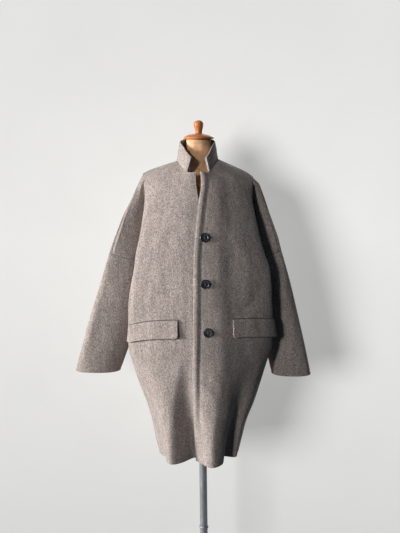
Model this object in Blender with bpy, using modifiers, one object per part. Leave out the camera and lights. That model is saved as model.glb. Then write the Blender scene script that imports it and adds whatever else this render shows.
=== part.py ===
"""Short cocoon coat in thick felted wool, buttoned on a limbless dress form with a pole and base.

The coat's front faces -Y and +X is the viewer's right, so the wearer's left side is at +X.
Every cut piece is a wall of cloth: an outer surface lofted through level sections, and an inner
surface moved in along normals that the pieces on both sides of a seam share.
Tables are in millimetres, the model is in metres.
"""
import math

import bmesh
import bpy
import numpy as np
from mathutils import Matrix, Vector

MM = 0.001
SHARP_ANGLE = math.radians(50)

# Driving dimensions, in millimetres
CLOTH = 3.0
SEAM_GAP = 0.3
HEM = 500.0
UNDERARM = 1095.0
CHEST_TOP = 1335.0
NECK_FRONT = 1381.0
EDGE_THICK = 6.5
COLLAR_THICK = 4.5
COLLAR_GAP = 0.6
CORNER_GAPS = 2
SAME_POINT = 0.05
FLAP_THICK = 5.0
FLAP_HEIGHT = 54.0
BUTTON_RADIUS = 14.0
POLE_RADIUS = 12.0
BASE_RADIUS = 185.0
BASE_THICK = 16.0

# Landmarks along a section, counted from the centre line out to each side
CENTRE, INNER, MID, RIM, SIDE, ARM, OVER = range(7)
INNER_SHARE = 0.30
MID_SHARE = 0.72
FULLNESS = {"front": 1.6, "back": 2.4}

# Body sections: half widths at the front fold (left and right of the picture), depths from the
# axis plane at the centre front, the front fold, the centre back and the back fold, and the side
# valley: its share of the half width and where its front and back walls lie
BODY_NAMES = ("z", "left", "right", "front", "front_fold", "back", "back_fold",
              "side_share", "side_front", "side_back")
BODY_ROWS = (
    (1335, 159, 154, 102, 44, 96, 62, 1.040, -24.0, 42.0),
    (1285, 162, 156, 119, 62, 118, 82, 0.987, -10.0, 52.0),
    (1240, 170, 165, 132, 73, 130, 94, 0.920, -2.0, 46.0),
    (1190, 180, 176, 143, 81, 139, 103, 0.842, 3.0, 36.0),
    (1140, 191, 190, 152, 86, 146, 108, 0.765, 8.0, 25.0),
    (1095, 197, 205, 158, 88, 151, 110, 0.710, 10.0, 18.0),
    (1088, 198, 206, 159, 88, 152, 110, 0.664, 14.0, 14.0),
    (1045, 205, 212, 164, 88, 156, 109, 0.650, 14.5, 14.5),
    (990, 212, 215, 168, 87, 160, 106, 0.695, 14.5, 14.5),
    (930, 216, 216, 171, 82, 162, 100, 0.760, 13.0, 13.0),
    (880, 219, 216, 171, 74, 162, 92, 0.820, 12.0, 12.0),
    (845, 219, 211, 169, 66, 161, 84, 0.870, 11.0, 11.0),
    (800, 208, 196, 163, 58, 157, 72, 0.945, 9.0, 9.0),
    (745, 191, 180, 153, 48, 150, 60, 1.000, 7.0, 7.0),
    (675, 167, 157, 139, 42, 140, 52, 1.026, 6.0, 6.0),
    (610, 150, 133, 126, 38, 131, 46, 1.044, 5.0, 5.0),
    (545, 138, 116, 112, 35, 123, 42, 1.060, 5.0, 5.0),
    (500, 128, 105, 104, 33, 118, 40, 1.070, 5.0, 5.0),
)
BACK_WIDTH_SHARE = 0.96

# Upper arm, part of front and back: the overarm seam and the faces between it and the valley
ARM_NAMES = ("z", "over_z", "left", "right", "over_y", "front_y", "back_y")
ARM_ROWS = (
    (1335, 1335, 188, 182, -9, -24, 40),
    (1285, 1290, 209, 198, -14, -25, 50),
    (1240, 1252, 230, 210, -17, -24, 58),
    (1190, 1212, 247, 224, -19, -22, 63),
    (1140, 1173, 263, 237, -19, -21, 60),
    (1095, 1137, 276, 246, -18, -21, 58),
)

# Neckline and shoulder seam, and the way the cloth runs up to them in front and behind
TOP_NAMES = ("left_x", "right_x", "y", "left_z", "right_z", "run_in", "run_y", "run_z")
FRONT_TOP = {
    CENTRE: (0, 0, -86, 1381, 1381, 0, 16, 46),
    INNER: (-34, 29, -77, 1380, 1379, 10, 24, 42),
    MID: (-64, 54, -4, 1412, 1416, 12, 88, 26),
}
BACK_TOP = {
    CENTRE: (-4, -4, 60, 1420, 1420, 0, -30, 70),
    INNER: (-38, 29, 47, 1418, 1420, 6, -38, 66),
    MID: (-64, 54, -4, 1412, 1416, 12, -88, 26),
}
SHOULDER = {
    RIM: (-110, 102, -1, 1397.5, 1394, 8, 66, 10),
    SIDE: (-132, 124, -1, 1390.5, 1384, 10, 54, 13),
    ARM: (-152, 144, -2, 1383.5, 1373.5, 12, 34, 20),
    OVER: (-168, 160, -3, 1375, 1362, 16, 0, 32),
}

RUN_STEP = 8.0

# Front edges: where the upper front (viewer's right) and the under front end, by height
EDGE_NAMES = ("z", "upper", "under")
EDGE_ROWS = (
    (1381, 2, -11), (1341, 5, -9), (1298, -2, -2), (1228, -11, 28), (1158, -18, 44),
    (1044, -22, 46), (928, -24, 46), (775, -29, 46), (642, -27, 46), (500, -20, 44),
)
LAP_LIFT = 5.0
LAP_FROM = 50.0
LAP_TO = 92.0
LAP_OPEN = 1298.0
LAP_CLOSED = 1200.0
EDGE_ROLL = 14.0

# Folds of the skirt: landmark position of the centre, half width in landmarks, depth at the hem,
# height where the fold starts
FRONT_FOLDS = (
    (-1.73, 0.95, 40, 850),
    (-0.80, 1.05, -34, 835),
    (0.86, 1.20, 40, 880),
    (1.95, 0.65, -32, 870),
    (2.52, 0.60, 12, 800),
)
BACK_FOLDS = (
    (-2.50, 0.80, 16, 820),
    (-1.60, 0.80, -26, 850),
    (-0.65, 0.90, 28, 880),
    (0.40, 0.80, -24, 840),
    (1.35, 0.90, 27, 870),
    (2.35, 0.80, -20, 830),
)
FOLD_GROWTH = 1.35
FOLD_LEAN = 0.5

# Sleeves: sections from the seam (fall 0) to the cuff (fall 1)
SLEEVE_NAMES = ("fall", "left_outer", "left_inner", "right_outer", "right_inner",
                "middle_y", "half_depth", "tilt")
SLEEVE_ROWS = (
    (0.00, 276, 143, 246, 145, 14, 51, 34),
    (0.25, 306, 166, 274, 163, 15, 50, 36),
    (0.50, 337, 195, 297, 181, 14, 46, 33),
    (0.75, 365, 224, 319, 200, 10, 44, 28),
    (1.00, 392, 255, 339, 219, 6, 42, 18),
)
CUFF_OUTER_Z = {-1: 770.0, 1: 748.0}
CUFF_INNER_Z = {-1: 763.0, 1: 746.0}
SLEEVE_SQUARENESS = 2.3
SLEEVE_TIP = 0.012
SEAM_FADE = 0.34

# Collar, turned up: its top edge at stations from the front end to the centre back
COLLAR_NAMES = ("station", "left_x", "right_x", "y", "z")
COLLAR_ROWS = (
    (0.00, -23, 23, -71, 1418),
    (0.25, -45, 39, -42, 1450),
    (0.50, -57, 48, -3, 1468),
    (0.75, -38, 30, 46, 1476),
    (1.00, -4, -4, 59, 1478),
)
COLLAR_RISE_ROWS = 4
SLEEVE_FALLS = (0.0, 0.04, 0.11, 0.2, 0.31, 0.44, 0.57, 0.7, 0.83, 0.95, 1.0)

# Pocket flaps: landmark positions of the inner and outer ends
FLAP_ENDS = {-1: (1.02, 2.80), 1: (1.29, 3.02)}
FLAP_TOP_Z = 955.0
FLAP_DROP = {-1: 26.0, 1: 17.0}
FLAP_SEAT = 0.7
FLAP_STAND = 5.5
FLAP_CORNER = 6.0
FLAP_ROWS = (0.0, 0.12, 0.45, 0.8, 1.0)
FLAP_END_STEP = 0.07
FLAP_SEAM_WALL = 0.6
FLAP_FULL_AT = 0.13
FLAP_CURVE = 1.5

# Buttons: place on the upper front
BUTTON_PLACES = ((13.0, 1191.0), (13.0, 1060.0), (19.0, 921.0))
BUTTON_SEAT = 0.45
BUTTON_TRIES = 60
# Profile of a button from its middle: share of its radius, height above its seat
BUTTON_PROFILE = ((0.0, 5.4), (0.55, 5.4), (0.68, 5.9), (0.90, 6.2), (1.0, 5.2), (1.0, 4.2),
                  (0.82, 2.9), (0.29, 2.6), (0.29, 0.0), (0.0, 0.0))

# Dress form: half width, depth in front and behind of each level
FORM_NAMES = ("z", "half_width", "front", "back")
FORM_ROWS = (
    (1474, 37, 37, 37), (1440, 37, 36, 38), (1415, 39, 36, 40), (1403, 52, 34, 41),
    (1393, 86, 36, 42), (1381, 113, 46, 50), (1367, 134, 58, 60), (1340, 142, 78, 76),
    (1290, 140, 96, 88), (1240, 139, 106, 92), (1190, 136, 106, 92), (1140, 128, 98, 88),
    (1085, 115, 88, 80), (1035, 110, 84, 78), (980, 122, 92, 88), (910, 144, 102, 104),
    (840, 152, 106, 112), (770, 150, 104, 110), (735, 146, 100, 106), (722, 138, 92, 98),
)
FORM_AROUND = 28
FORM_SQUARENESS = 2.2
FORM_BOTTOM = 722.0
NECK_TOP = 1474.0

# Turned pieces: radius and height above their own seat, from the top down
CAP_PROFILE = ((0.0, 17), (14, 16.6), (28, 14), (39, 9.5), (45, 5), (46, 2.5), (45, 0), (0.0, 0))
KNOB_PROFILE = ((0.0, 38), (6.4, 37.2), (11.4, 34.2), (14.4, 29.4), (14.8, 25), (13.8, 19.4),
                (12.2, 13), (11.0, 7), (10.6, 3), (10.8, 0), (0.0, 0))
BEAD_Z = 246.0
BEAD_RADIUS = 14.6
BEAD_FLAT = 3.0
BEAD_HALF = 5.0
BASE_ROUND = 5.0
BASE_SHOULDER = 1.5
BASE_FOOT = 2.0

# Colours as linear red, green, blue, with roughness and metallic value
WOOL = ((0.235, 0.205, 0.190), 0.92, 0.0)
BUTTON_BLACK = ((0.012, 0.014, 0.020), 0.35, 0.0)
LINEN = ((0.56, 0.36, 0.20), 0.85, 0.0)
TURNED_WOOD = ((0.42, 0.18, 0.075), 0.45, 0.0)
POLE_STEEL = ((0.17, 0.18, 0.20), 0.40, 1.0)


def table(names, rows):
    """Columns of a table by name."""
    return dict(zip(names, np.array(rows, dtype=float).T))


BODY = table(BODY_NAMES, BODY_ROWS)
ARM_TABLE = table(ARM_NAMES, ARM_ROWS)
EDGES = table(EDGE_NAMES, EDGE_ROWS)
SLEEVE = table(SLEEVE_NAMES, SLEEVE_ROWS)
COLLAR = table(COLLAR_NAMES, COLLAR_ROWS)
FORM = table(FORM_NAMES, FORM_ROWS)


def smooth(columns, key, name, at):
    """Value of a table's column on a smooth curve through its rows."""
    order = np.argsort(columns[key])
    places = columns[key][order]
    values = columns[name][order]
    slopes = np.gradient(values, places)
    at = min(max(at, places[0]), places[-1])
    last = len(places) - 2
    index = min(int(np.searchsorted(places, at, side="right")) - 1, last)
    span = places[index + 1] - places[index]
    return hermite(values[index], values[index + 1], slopes[index] * span,
                   slopes[index + 1] * span, (at - places[index]) / span)


def hermite(start, end, start_run, end_run, share):
    """Cubic between two values or points with a given run at each end."""
    square = share * share
    cube = square * share
    return ((2 * cube - 3 * square + 1) * start + (cube - 2 * square + share) * start_run
            + (3 * square - 2 * cube) * end + (cube - square) * end_run)


def along(points, place):
    """Point at a place on the smooth curve through a list of points, by index."""
    last = len(points) - 1
    index = min(max(int(math.floor(place)), 0), last - 1)
    before = points[max(index - 1, 0)]
    start = points[index]
    end = points[index + 1]
    after = points[min(index + 2, last)]
    return hermite(start, end, (end - before) / 2, (after - start) / 2, place - index)


def side_name(side):
    """Column name for a side: -1 is the left of the picture, 1 the right."""
    return "left" if side < 0 else "right"


def arc_depth(face, centre, fold, share):
    """Depth of the rounded front or back at a share of the half width."""
    power = FULLNESS[face]
    return fold + (centre - fold) * (1 - share ** power) ** (1 / power)


def half_section(face, z, side):
    """Landmark points of one half of a section, from the centre line outwards."""
    width = smooth(BODY, "z", side_name(side), z)
    depth = smooth(BODY, "z", face, z)
    fold = smooth(BODY, "z", face + "_fold", z)
    sign = -1 if face == "front" else 1
    half = width * (BACK_WIDTH_SHARE if face == "back" else 1.0)
    valley = smooth(BODY, "z", "side_share", z) * width
    wall = smooth(BODY, "z", "side_" + face, z)
    points = [np.array((0.0, sign * depth, z))]
    for share in (INNER_SHARE, MID_SHARE, 1.0):
        points.append(np.array((side * share * half, sign * arc_depth(face, depth, fold, share), z)))
    points.append(np.array((side * valley, wall, z)))
    if z >= UNDERARM:
        over_z = smooth(ARM_TABLE, "z", "over_z", z)
        over_x = smooth(ARM_TABLE, "z", side_name(side), z)
        arm_y = smooth(ARM_TABLE, "z", face + "_y", z)
        over_y = smooth(ARM_TABLE, "z", "over_y", z)
        points.append(np.array((side * (valley + over_x) / 2, arm_y, (z + over_z) / 2)))
        points.append(np.array((side * over_x, over_y, over_z)))
    return points


def other_face(face):
    """The face on the far side of the seams."""
    return "back" if face == "front" else "front"


def level_point(face, z, place):
    """Point of a level section; place counts landmarks, negative on the left of the picture."""
    left = half_section(face, z, -1)
    right = half_section(face, z, 1)
    beyond = RIM if z < UNDERARM else ARM
    left_next = half_section(other_face(face), z, -1)[beyond]
    right_next = half_section(other_face(face), z, 1)[beyond]
    points = [left_next] + left[::-1] + right[1:] + [right_next]
    return along(points, place + len(left))


def fold_depth(face, z, place):
    """How far the skirt's folds stand out at a place."""
    total = 0.0
    for centre, half_width, depth, start in FRONT_FOLDS if face == "front" else BACK_FOLDS:
        growth = min(max((start - z) / (start - HEM), 0.0), 1.0) ** FOLD_GROWTH
        reach = (place - centre) / half_width
        if abs(reach) < 1:
            total += depth * growth * (0.5 + 0.5 * math.cos(math.pi * reach))
    return total


def folded_point(face, z, place):
    """Level point with the skirt's folds."""
    point = level_point(face, z, place)
    depth = fold_depth(face, z, place)
    outward = np.array((point[0] * FOLD_LEAN, point[1], 0.0))
    return point + outward / np.linalg.norm(outward) * depth


def top_row(face, side):
    """Neckline and shoulder landmarks of one half, as table rows."""
    neck = FRONT_TOP if face == "front" else BACK_TOP
    rows = {**neck, **SHOULDER}
    points = []
    runs = []
    for landmark in range(OVER + 1):
        row = dict(zip(TOP_NAMES, rows[landmark]))
        name = side_name(side)
        points.append(np.array((row[name + "_x"], row["y"], row[name + "_z"]), dtype=float))
        run_y = row["run_y"] * (-1 if face == "back" and landmark in SHOULDER else 1)
        runs.append(np.array((-side * row["run_in"], run_y, row["run_z"]), dtype=float))
    return points, runs


def top_point(face, place):
    """Point of the neckline or shoulder seam, and the way the cloth runs up to it."""
    side = -1 if place < 0 else 1
    points, runs = top_row(face, side)
    other_points, other_runs = top_row(face, -side)
    place = abs(place)
    run = along([other_runs[INNER]] + runs, place + 1)
    if place >= MID:
        return along(points[MID:], place - MID), run
    neck = [other_points[INNER]] + points[:MID + 1]
    return along(neck, place + 1), run


def shoulder_point(face, share, place):
    """Point between the chest section and the neckline or shoulder seam above it."""
    start = level_point(face, CHEST_TOP, place)
    below = level_point(face, CHEST_TOP - RUN_STEP, place)
    end, end_run = top_point(face, place)
    start_run = (start - below) / RUN_STEP * (end[2] - start[2])
    return hermite(start, end, start_run, end_run, share)


TOP_SHARES = (1.0, 0.72, 0.45, 0.22)
LEVELS = (1335, 1285, 1240, 1190, 1140, 1095, 1088, 1045, 990, 930, 880, 845, 800, 745, 700, 655,
          610, 575, 540, 518, 500)
ARM_ROWS_COUNT = len(TOP_SHARES) + LEVELS.index(UNDERARM) + 1


def row_levels():
    """Every row of a panel: its height, and its share of the rise to the shoulder."""
    rows = [(CHEST_TOP + share * (NECK_FRONT - CHEST_TOP), share) for share in TOP_SHARES]
    return rows + [(float(z), 0.0) for z in LEVELS]


def surface_point(face, z, share, place):
    """Point of the coat's body, front or back."""
    if share > 0:
        return shoulder_point(face, share, place)
    return folded_point(face, z, place)


CHEST_PLACES = (1.25, 1.5, 1.75, 2.0, 2.3, 2.55, 2.8, 3.0, 3.25, 3.5, 3.75, 4.0)
ARM_PLACES = tuple(4 + 0.25 * count for count in range(1, 9))
EDGE_SHARES = (0.0, 0.05, 0.13, 0.28, 0.43, 0.58, 0.74, 0.87, 1.0)
LAP_SHARES = (0.74, 0.58, 0.43, 0.28, 0.13, 0.0)
SHOWN_SHARES = (0.25, 0.5, 0.75, 1.0)
UNDER_COLUMNS = len(LAP_SHARES) + len(SHOWN_SHARES)
BACK_PLACES = (0.0, 0.34, 0.67, 1.0) + CHEST_PLACES


def edge_place(z, share, side):
    """Landmark position of a front edge; side 1 is the upper front."""
    edge = smooth(EDGES, "z", "upper" if side > 0 else "under", z)
    edge_side = -1 if edge < 0 else 1
    width = INNER_SHARE * smooth(BODY, "z", side_name(edge_side), z)
    notch = abs(FRONT_TOP[INNER][0 if edge_side < 0 else 1])
    return edge / (width + (notch - width) * share)


def upper_places(z, share):
    """Columns of the upper front from its edge to the inner landmark."""
    start = edge_place(z, share, 1)
    return [start + (1 - start) * part for part in EDGE_SHARES]


def under_places(z, share):
    """Columns of the under front from its edge to the inner landmark.

    Where the fronts lap, the columns lie on those of the upper front, so that the two keep apart.
    """
    start = edge_place(z, share, -1)
    upper = edge_place(z, share, 1)
    closed = min(max((LAP_OPEN - z) / (LAP_OPEN - LAP_CLOSED), 0.0), 1.0)
    lapped = [upper + (1 - upper) * part for part in LAP_SHARES]
    lapped += [upper + (-1 - upper) * part for part in SHOWN_SHARES]
    last = UNDER_COLUMNS - 1
    plain = [start + (-1 - start) * count / last for count in range(UNDER_COLUMNS)]
    return [a * closed + b * (1 - closed) for a, b in zip(lapped, plain)]


def lap_lift(x, edge_x, share):
    """How far the upper front stands out over the under front, most at its rolled edge."""
    rise = min(max((LAP_TO - x) / (LAP_TO - LAP_FROM), 0.0), 1.0) * (1 - share)
    roll = max(1 - (x - edge_x) / EDGE_ROLL, 0.0)
    return LAP_LIFT * rise * rise * (3 - 2 * rise) + (EDGE_THICK - CLOTH) * roll


def first_columns(side):
    """Number of a front's columns from its edge to the inner landmark."""
    return len(EDGE_SHARES) if side > 0 else UNDER_COLUMNS


def front_grid(side):
    """Outer points of a front, by row from the shoulder and by column from its front edge."""
    grid = []
    for z, share in row_levels():
        places = upper_places(z, share) if side > 0 else under_places(z, share)
        places += [side * place for place in CHEST_PLACES]
        if z >= UNDERARM:
            places += [side * place for place in ARM_PLACES]
        grid.append([surface_point("front", z, share, place) for place in places])
    if side < 0:
        return grid
    lap = len(EDGE_SHARES) + len(CHEST_PLACES)
    for row, normals, (_, share) in zip(grid, grid_normals(grid), row_levels()):
        edge_x = row[0][0]
        for column in range(lap):
            lift = lap_lift(row[column][0], edge_x, share)
            row[column] = row[column] - normals[column] * lift
    return grid


def front_thickness(side, grid):
    """Wall thickness of a front: the upper front's edge is turned back and thicker."""
    walls = []
    for row in grid:
        edge_x = row[0][0]
        roll = [max(1 - abs(point[0] - edge_x) / EDGE_ROLL, 0.0) for point in row]
        walls.append([CLOTH + (EDGE_THICK - CLOTH) * share * (side > 0) for share in roll])
    return walls


def back_grid():
    """Outer points of the back, by row from the shoulder and by column from left to right."""
    grid = []
    for z, share in row_levels():
        half = BACK_PLACES + (ARM_PLACES if z >= UNDERARM else ())
        places = [-place for place in half[:0:-1]] + list(half)
        grid.append([surface_point("back", z, share, place) for place in places])
    return grid


def sleeve_section(side, fall, steps):
    """Flattened ring of a sleeve, from the underarm round the front to the underarm."""
    name = side_name(side)
    outer = smooth(SLEEVE, "fall", name + "_outer", fall)
    inner = smooth(SLEEVE, "fall", name + "_inner", fall)
    depth = smooth(SLEEVE, "fall", "half_depth", fall)
    tilt = smooth(SLEEVE, "fall", "tilt", fall)
    middle_y = smooth(SLEEVE, "fall", "middle_y", fall)
    top_outer = ARM_ROWS[-1][ARM_NAMES.index("over_z")]
    outer_z = top_outer + (CUFF_OUTER_Z[side] - top_outer) * fall
    inner_z = UNDERARM + (CUFF_INNER_Z[side] - UNDERARM) * fall
    power = 2 / SLEEVE_SQUARENESS
    ring = []
    for step in range(steps + 1):
        turn = math.pi * (1 - SLEEVE_TIP) * (1 - 2 * step / steps)
        across = math.copysign(abs(math.cos(turn)) ** power, math.cos(turn))
        deep = math.copysign(abs(math.sin(turn)) ** power, math.sin(turn))
        share = (1 + across) / 2
        x = inner + (outer - inner) * share
        y = middle_y - depth * deep + tilt * (0.5 - share)
        ring.append(np.array((side * x, y, inner_z + (outer_z - inner_z) * share)))
    return ring


def sleeve_grid(side, seam):
    """Outer points of a sleeve; its first row is the seam on front and back."""
    steps = len(seam) - 1
    start = sleeve_section(side, 0.0, steps)
    grid = []
    for fall in SLEEVE_FALLS:
        fade = min(fall / SEAM_FADE, 1.0)
        keep = 1 - fade * fade * (3 - 2 * fade)
        ring = sleeve_section(side, fall, steps)
        grid.append([point + (seam[i] - start[i]) * keep for i, point in enumerate(ring)])
    return grid


def collar_grid(neckline):
    """Outer points of the turned-up collar, from its top edge down to the neckline."""
    count = len(neckline) - 1
    lengths = np.cumsum([0.0] + [float(np.linalg.norm(neckline[i + 1] - neckline[i]))
                                 for i in range(count)])
    grid = []
    for row in range(COLLAR_RISE_ROWS + 1):
        share = 1 - row / COLLAR_RISE_ROWS
        points = []
        for index, low in enumerate(neckline):
            way = 2 * lengths[index] / lengths[-1]
            name = "left_x" if way <= 1 else "right_x"
            station = way if way <= 1 else 2 - way
            high = np.array([smooth(COLLAR, "station", key, station) for key in (name, "y", "z")])
            points.append(low + (high - low) * share)
        grid.append(points)
    return grid


def grid_normals(grid, closed=False, beyond=None):
    """Unit normals of a grid, each the mean of the corners around a point.

    Rows may have different lengths. Beyond holds each row's neighbour before its first point,
    where the piece goes on there.
    """
    def neighbour(i, j):
        if not 0 <= i < len(grid):
            return None
        if closed:
            return grid[i][j % len(grid[i])]
        if j < 0:
            return beyond[i] if beyond else None
        return grid[i][j] if j < len(grid[i]) else None

    normals = []
    for i, row in enumerate(grid):
        line = []
        for j, point in enumerate(row):
            total = np.zeros(3)
            for down, over in ((-1, -1), (-1, 1), (1, -1), (1, 1)):
                below = neighbour(i + down, j)
                beside = neighbour(i, j + over)
                if below is not None and beside is not None:
                    normal = np.cross((beside - point) * over, (below - point) * down)
                    total += normal / max(np.linalg.norm(normal), 1e-9)
            line.append(total / max(np.linalg.norm(total), 1e-9))
        normals.append(line)
    return normals


class Panel:
    """One cut piece: outer points on a ragged grid, normals that point out, wall thickness."""

    def __init__(self, name, grid, outward, thickness, closed=False, beyond=None, arm=None):
        self.name = name
        self.grid = grid
        self.closed = closed
        self.joined = beyond is not None
        self.thickness = thickness
        self.gap = COLLAR_GAP if name == "collar" else SEAM_GAP / 2
        self.arm = arm
        self.corners = set()
        self.normals = [[outward * normal for normal in row]
                        for row in grid_normals(grid, closed, beyond)]
        if arm is not None:
            # The arm's columns crowd together at the shoulder seam, so they lean as the row below
            self.normals[0][arm:] = self.normals[1][arm:]
        self.outer = [[point.copy() for point in row] for row in grid]

    def has(self, i, j):
        """Whether the grid has a point there."""
        return 0 <= i < len(self.grid) and 0 <= j < len(self.grid[i])

    def edge_points(self):
        """Grid indices on the piece's boundary."""
        for i, row in enumerate(self.grid):
            for j in range(len(row)):
                ring = [(i - 1, j), (i + 1, j)]
                if not self.closed:
                    ring += [(i, j - 1), (i, j + 1)]
                missing = [(a, b) for a, b in ring if not self.has(a, b)]
                if self.joined and j == 0:
                    missing = [(a, b) for a, b in missing if b >= 0]
                if missing:
                    yield i, j, missing

    def pull_back(self):
        """Moves the boundary in by half of the seam's gap."""
        for i, j, missing in self.edge_points():
            down = sum(i - a for a, _ in missing)
            over = sum(j - b for _, b in missing)
            if self.has(i + down, j + over):
                way = self.grid[i + down][j + over] - self.grid[i][j]
                reach = self.gap * (CORNER_GAPS if (i, j) in self.corners else 1)
                self.outer[i][j] = self.outer[i][j] + way / np.linalg.norm(way) * reach


def centred(grid):
    """The back's ragged rows, split at the centre so that both halves count columns outwards."""
    left = []
    right = []
    for row in grid:
        middle = len(row) // 2
        left.append(row[middle::-1])
        right.append(row[middle:])
    return left, right


def share_normals(panels):
    """Gives points that meet at a seam one normal, so that walls are mitred there."""
    entries = [(panel, i, j) for panel in panels for i, j, _ in panel.edge_points()]
    places = np.array([panel.grid[i][j] for panel, i, j in entries])
    normals = np.array([panel.normals[i][j] for panel, i, j in entries])
    for number, (panel, i, j) in enumerate(entries):
        near = np.linalg.norm(places - places[number], axis=1) < SAME_POINT
        agree = normals @ normals[number] > 0
        mean = normals[near & agree].sum(axis=0)
        panel.normals[i][j] = mean / np.linalg.norm(mean)
        if near.sum() > 2:
            panel.corners.add((i, j))


def wall_thickness(panel, i, j):
    """Wall thickness at a grid point."""
    if isinstance(panel.thickness, list):
        return panel.thickness[i][j]
    return panel.thickness


def wall_mesh(panels, name):
    """Closed wall of cloth: the outer quads extruded inwards along the shared normals."""
    mesh = bmesh.new()
    number = mesh.verts.layers.int.new("number")
    inner = []
    known = {}
    for panel in panels:
        verts = {}
        for i, row in enumerate(panel.outer):
            for j, point in enumerate(row):
                key = tuple(np.round(point, 4))
                if key not in known:
                    known[key] = mesh.verts.new(Vector(point) * MM)
                    known[key][number] = len(inner)
                    inner.append((point - panel.normals[i][j] * wall_thickness(panel, i, j)) * MM)
                verts[i, j] = known[key]
        for i in range(len(panel.outer) - 1):
            columns = min(len(panel.outer[i]), len(panel.outer[i + 1]))
            for j in range(columns if panel.closed else columns - 1):
                right = (j + 1) % columns
                quad = (verts[i, j], verts[i + 1, j], verts[i + 1, right], verts[i, right])
                if panel.arm and i == 0 and right == columns - 1:
                    # At the shoulder's end the seam runs straight through the corner
                    mesh.faces.new((quad[0], quad[1], quad[3]))
                    mesh.faces.new(quad[1:])
                else:
                    mesh.faces.new(quad)
    made = bmesh.ops.extrude_face_region(mesh, geom=mesh.faces[:], use_keep_orig=True)
    for item in made["geom"]:
        if isinstance(item, bmesh.types.BMVert):
            item.co = Vector(inner[item[number]])
    bmesh.ops.recalc_face_normals(mesh, faces=mesh.faces[:])
    data = bpy.data.meshes.new(name)
    mesh.to_mesh(data)
    mesh.free()
    data.shade_smooth()
    data.set_sharp_from_angle(angle=SHARP_ANGLE)
    return data


def new_material(name, finish):
    """Principled material from a finish: colour, roughness, metallic value."""
    colour, roughness, metallic = finish
    material = bpy.data.materials.new(name)
    material.use_nodes = True
    shader = material.node_tree.nodes["Principled BSDF"]
    shader.inputs["Base Color"].default_value = (*colour, 1.0)
    shader.inputs["Roughness"].default_value = roughness
    shader.inputs["Metallic"].default_value = metallic
    return material


def add_object(name, data, collection, material):
    """Named object with a material, in the part's collection."""
    item = bpy.data.objects.new(name, data)
    collection.objects.link(item)
    data.materials.append(material)
    return item


def turned(name, profile, collection, material, steps=32):
    """Turned piece: a profile of radius and height in millimetres, top to bottom, with Screw."""
    data = bpy.data.meshes.new(name)
    mesh = bmesh.new()
    verts = [mesh.verts.new((radius * MM, 0.0, z * MM)) for radius, z in profile]
    for start, end in zip(verts, verts[1:]):
        mesh.edges.new((start, end))
    mesh.to_mesh(data)
    mesh.free()
    item = add_object(name, data, collection, material)
    screw = item.modifiers.new("Turn", "SCREW")
    screw.steps = steps
    screw.render_steps = steps
    screw.use_merge_vertices = True
    screw.merge_threshold = 0.00001
    screw.use_smooth_shade = True
    return item


def neckline_points(fronts, halves):
    """The collar's seam, from the notch on the left round the back to the notch on the right."""
    back_neck = BACK_PLACES.index(float(MID))
    steps = CHEST_PLACES.index(float(MID)) + 1
    left = first_columns(-1) - 1
    right = first_columns(1) - 1
    return (fronts[-1][0][left:left + steps] + halves[-1][0][back_neck:0:-1]
            + halves[1][0][:back_neck] + fronts[1][0][right + steps:right - 1:-1])


def collar_thickness(grid):
    """Wall of the collar: as thin as the body at its seam, double cloth above it."""
    return [[COLLAR_THICK] * len(row) for row in grid[:-1]] + [[CLOTH] * len(grid[-1])]


def coat_panels():
    """Cut pieces of the coat's body, sleeves and collar, with shared normals at the seams."""
    fronts = {side: front_grid(side) for side in (-1, 1)}
    back_left, back_right = centred(back_grid())
    halves = {-1: back_left, 1: back_right}
    back_body = len(BACK_PLACES) - 1
    seam_row = ARM_ROWS_COUNT - 1
    panels = {}
    for side, name in ((-1, "front_right"), (1, "front_left")):
        grid = fronts[side]
        panels[name] = [Panel(name, grid, -side, front_thickness(side, grid),
                              arm=first_columns(side) + len(CHEST_PLACES))]
    panels["back"] = [Panel("back", halves[side], side, CLOTH,
                            beyond=[row[1] for row in halves[-side]], arm=len(BACK_PLACES))
                      for side in (-1, 1)]
    for side, name in ((-1, "sleeve_right"), (1, "sleeve_left")):
        front_seam = fronts[side][seam_row][first_columns(side) + len(CHEST_PLACES) - 1:]
        back_seam = halves[side][seam_row][back_body:]
        seam = front_seam + back_seam[-2::-1]
        grid = sleeve_grid(side, seam)
        panels[name] = [Panel(name, grid, -side, CLOTH, closed=True)]
    collar = collar_grid(neckline_points(fronts, halves))
    panels["collar"] = [Panel("collar", collar, 1, collar_thickness(collar))]
    pieces = [panel for group in panels.values() for panel in group]
    share_normals(pieces)
    return panels


def panel_patch(panel, row, column):
    """Point and normal of a panel at a fractional row and column."""
    i = min(int(row), len(panel.outer) - 2)
    j = min(int(column), len(panel.outer[i]) - 2)
    up = row - i
    over = column - j
    corners = ((i, j, (1 - up) * (1 - over)), (i, j + 1, (1 - up) * over),
               (i + 1, j, up * (1 - over)), (i + 1, j + 1, up * over))
    point = sum(panel.outer[a][b] * weight for a, b, weight in corners)
    normal = sum(panel.normals[a][b] * weight for a, b, weight in corners)
    return point, normal / np.linalg.norm(normal)


def row_at(z):
    """Fractional row of a panel at a height below the chest."""
    levels = LEVELS[::-1]
    index = float(np.interp(z, levels, range(len(levels))))
    return len(TOP_SHARES) + len(LEVELS) - 1 - index


def flap_wall(down):
    """Thickness of a flap, thinner at its seam and full below it."""
    return FLAP_THICK * min(FLAP_SEAM_WALL + (1 - FLAP_SEAM_WALL) * down / FLAP_FULL_AT, 1.0)


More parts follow.
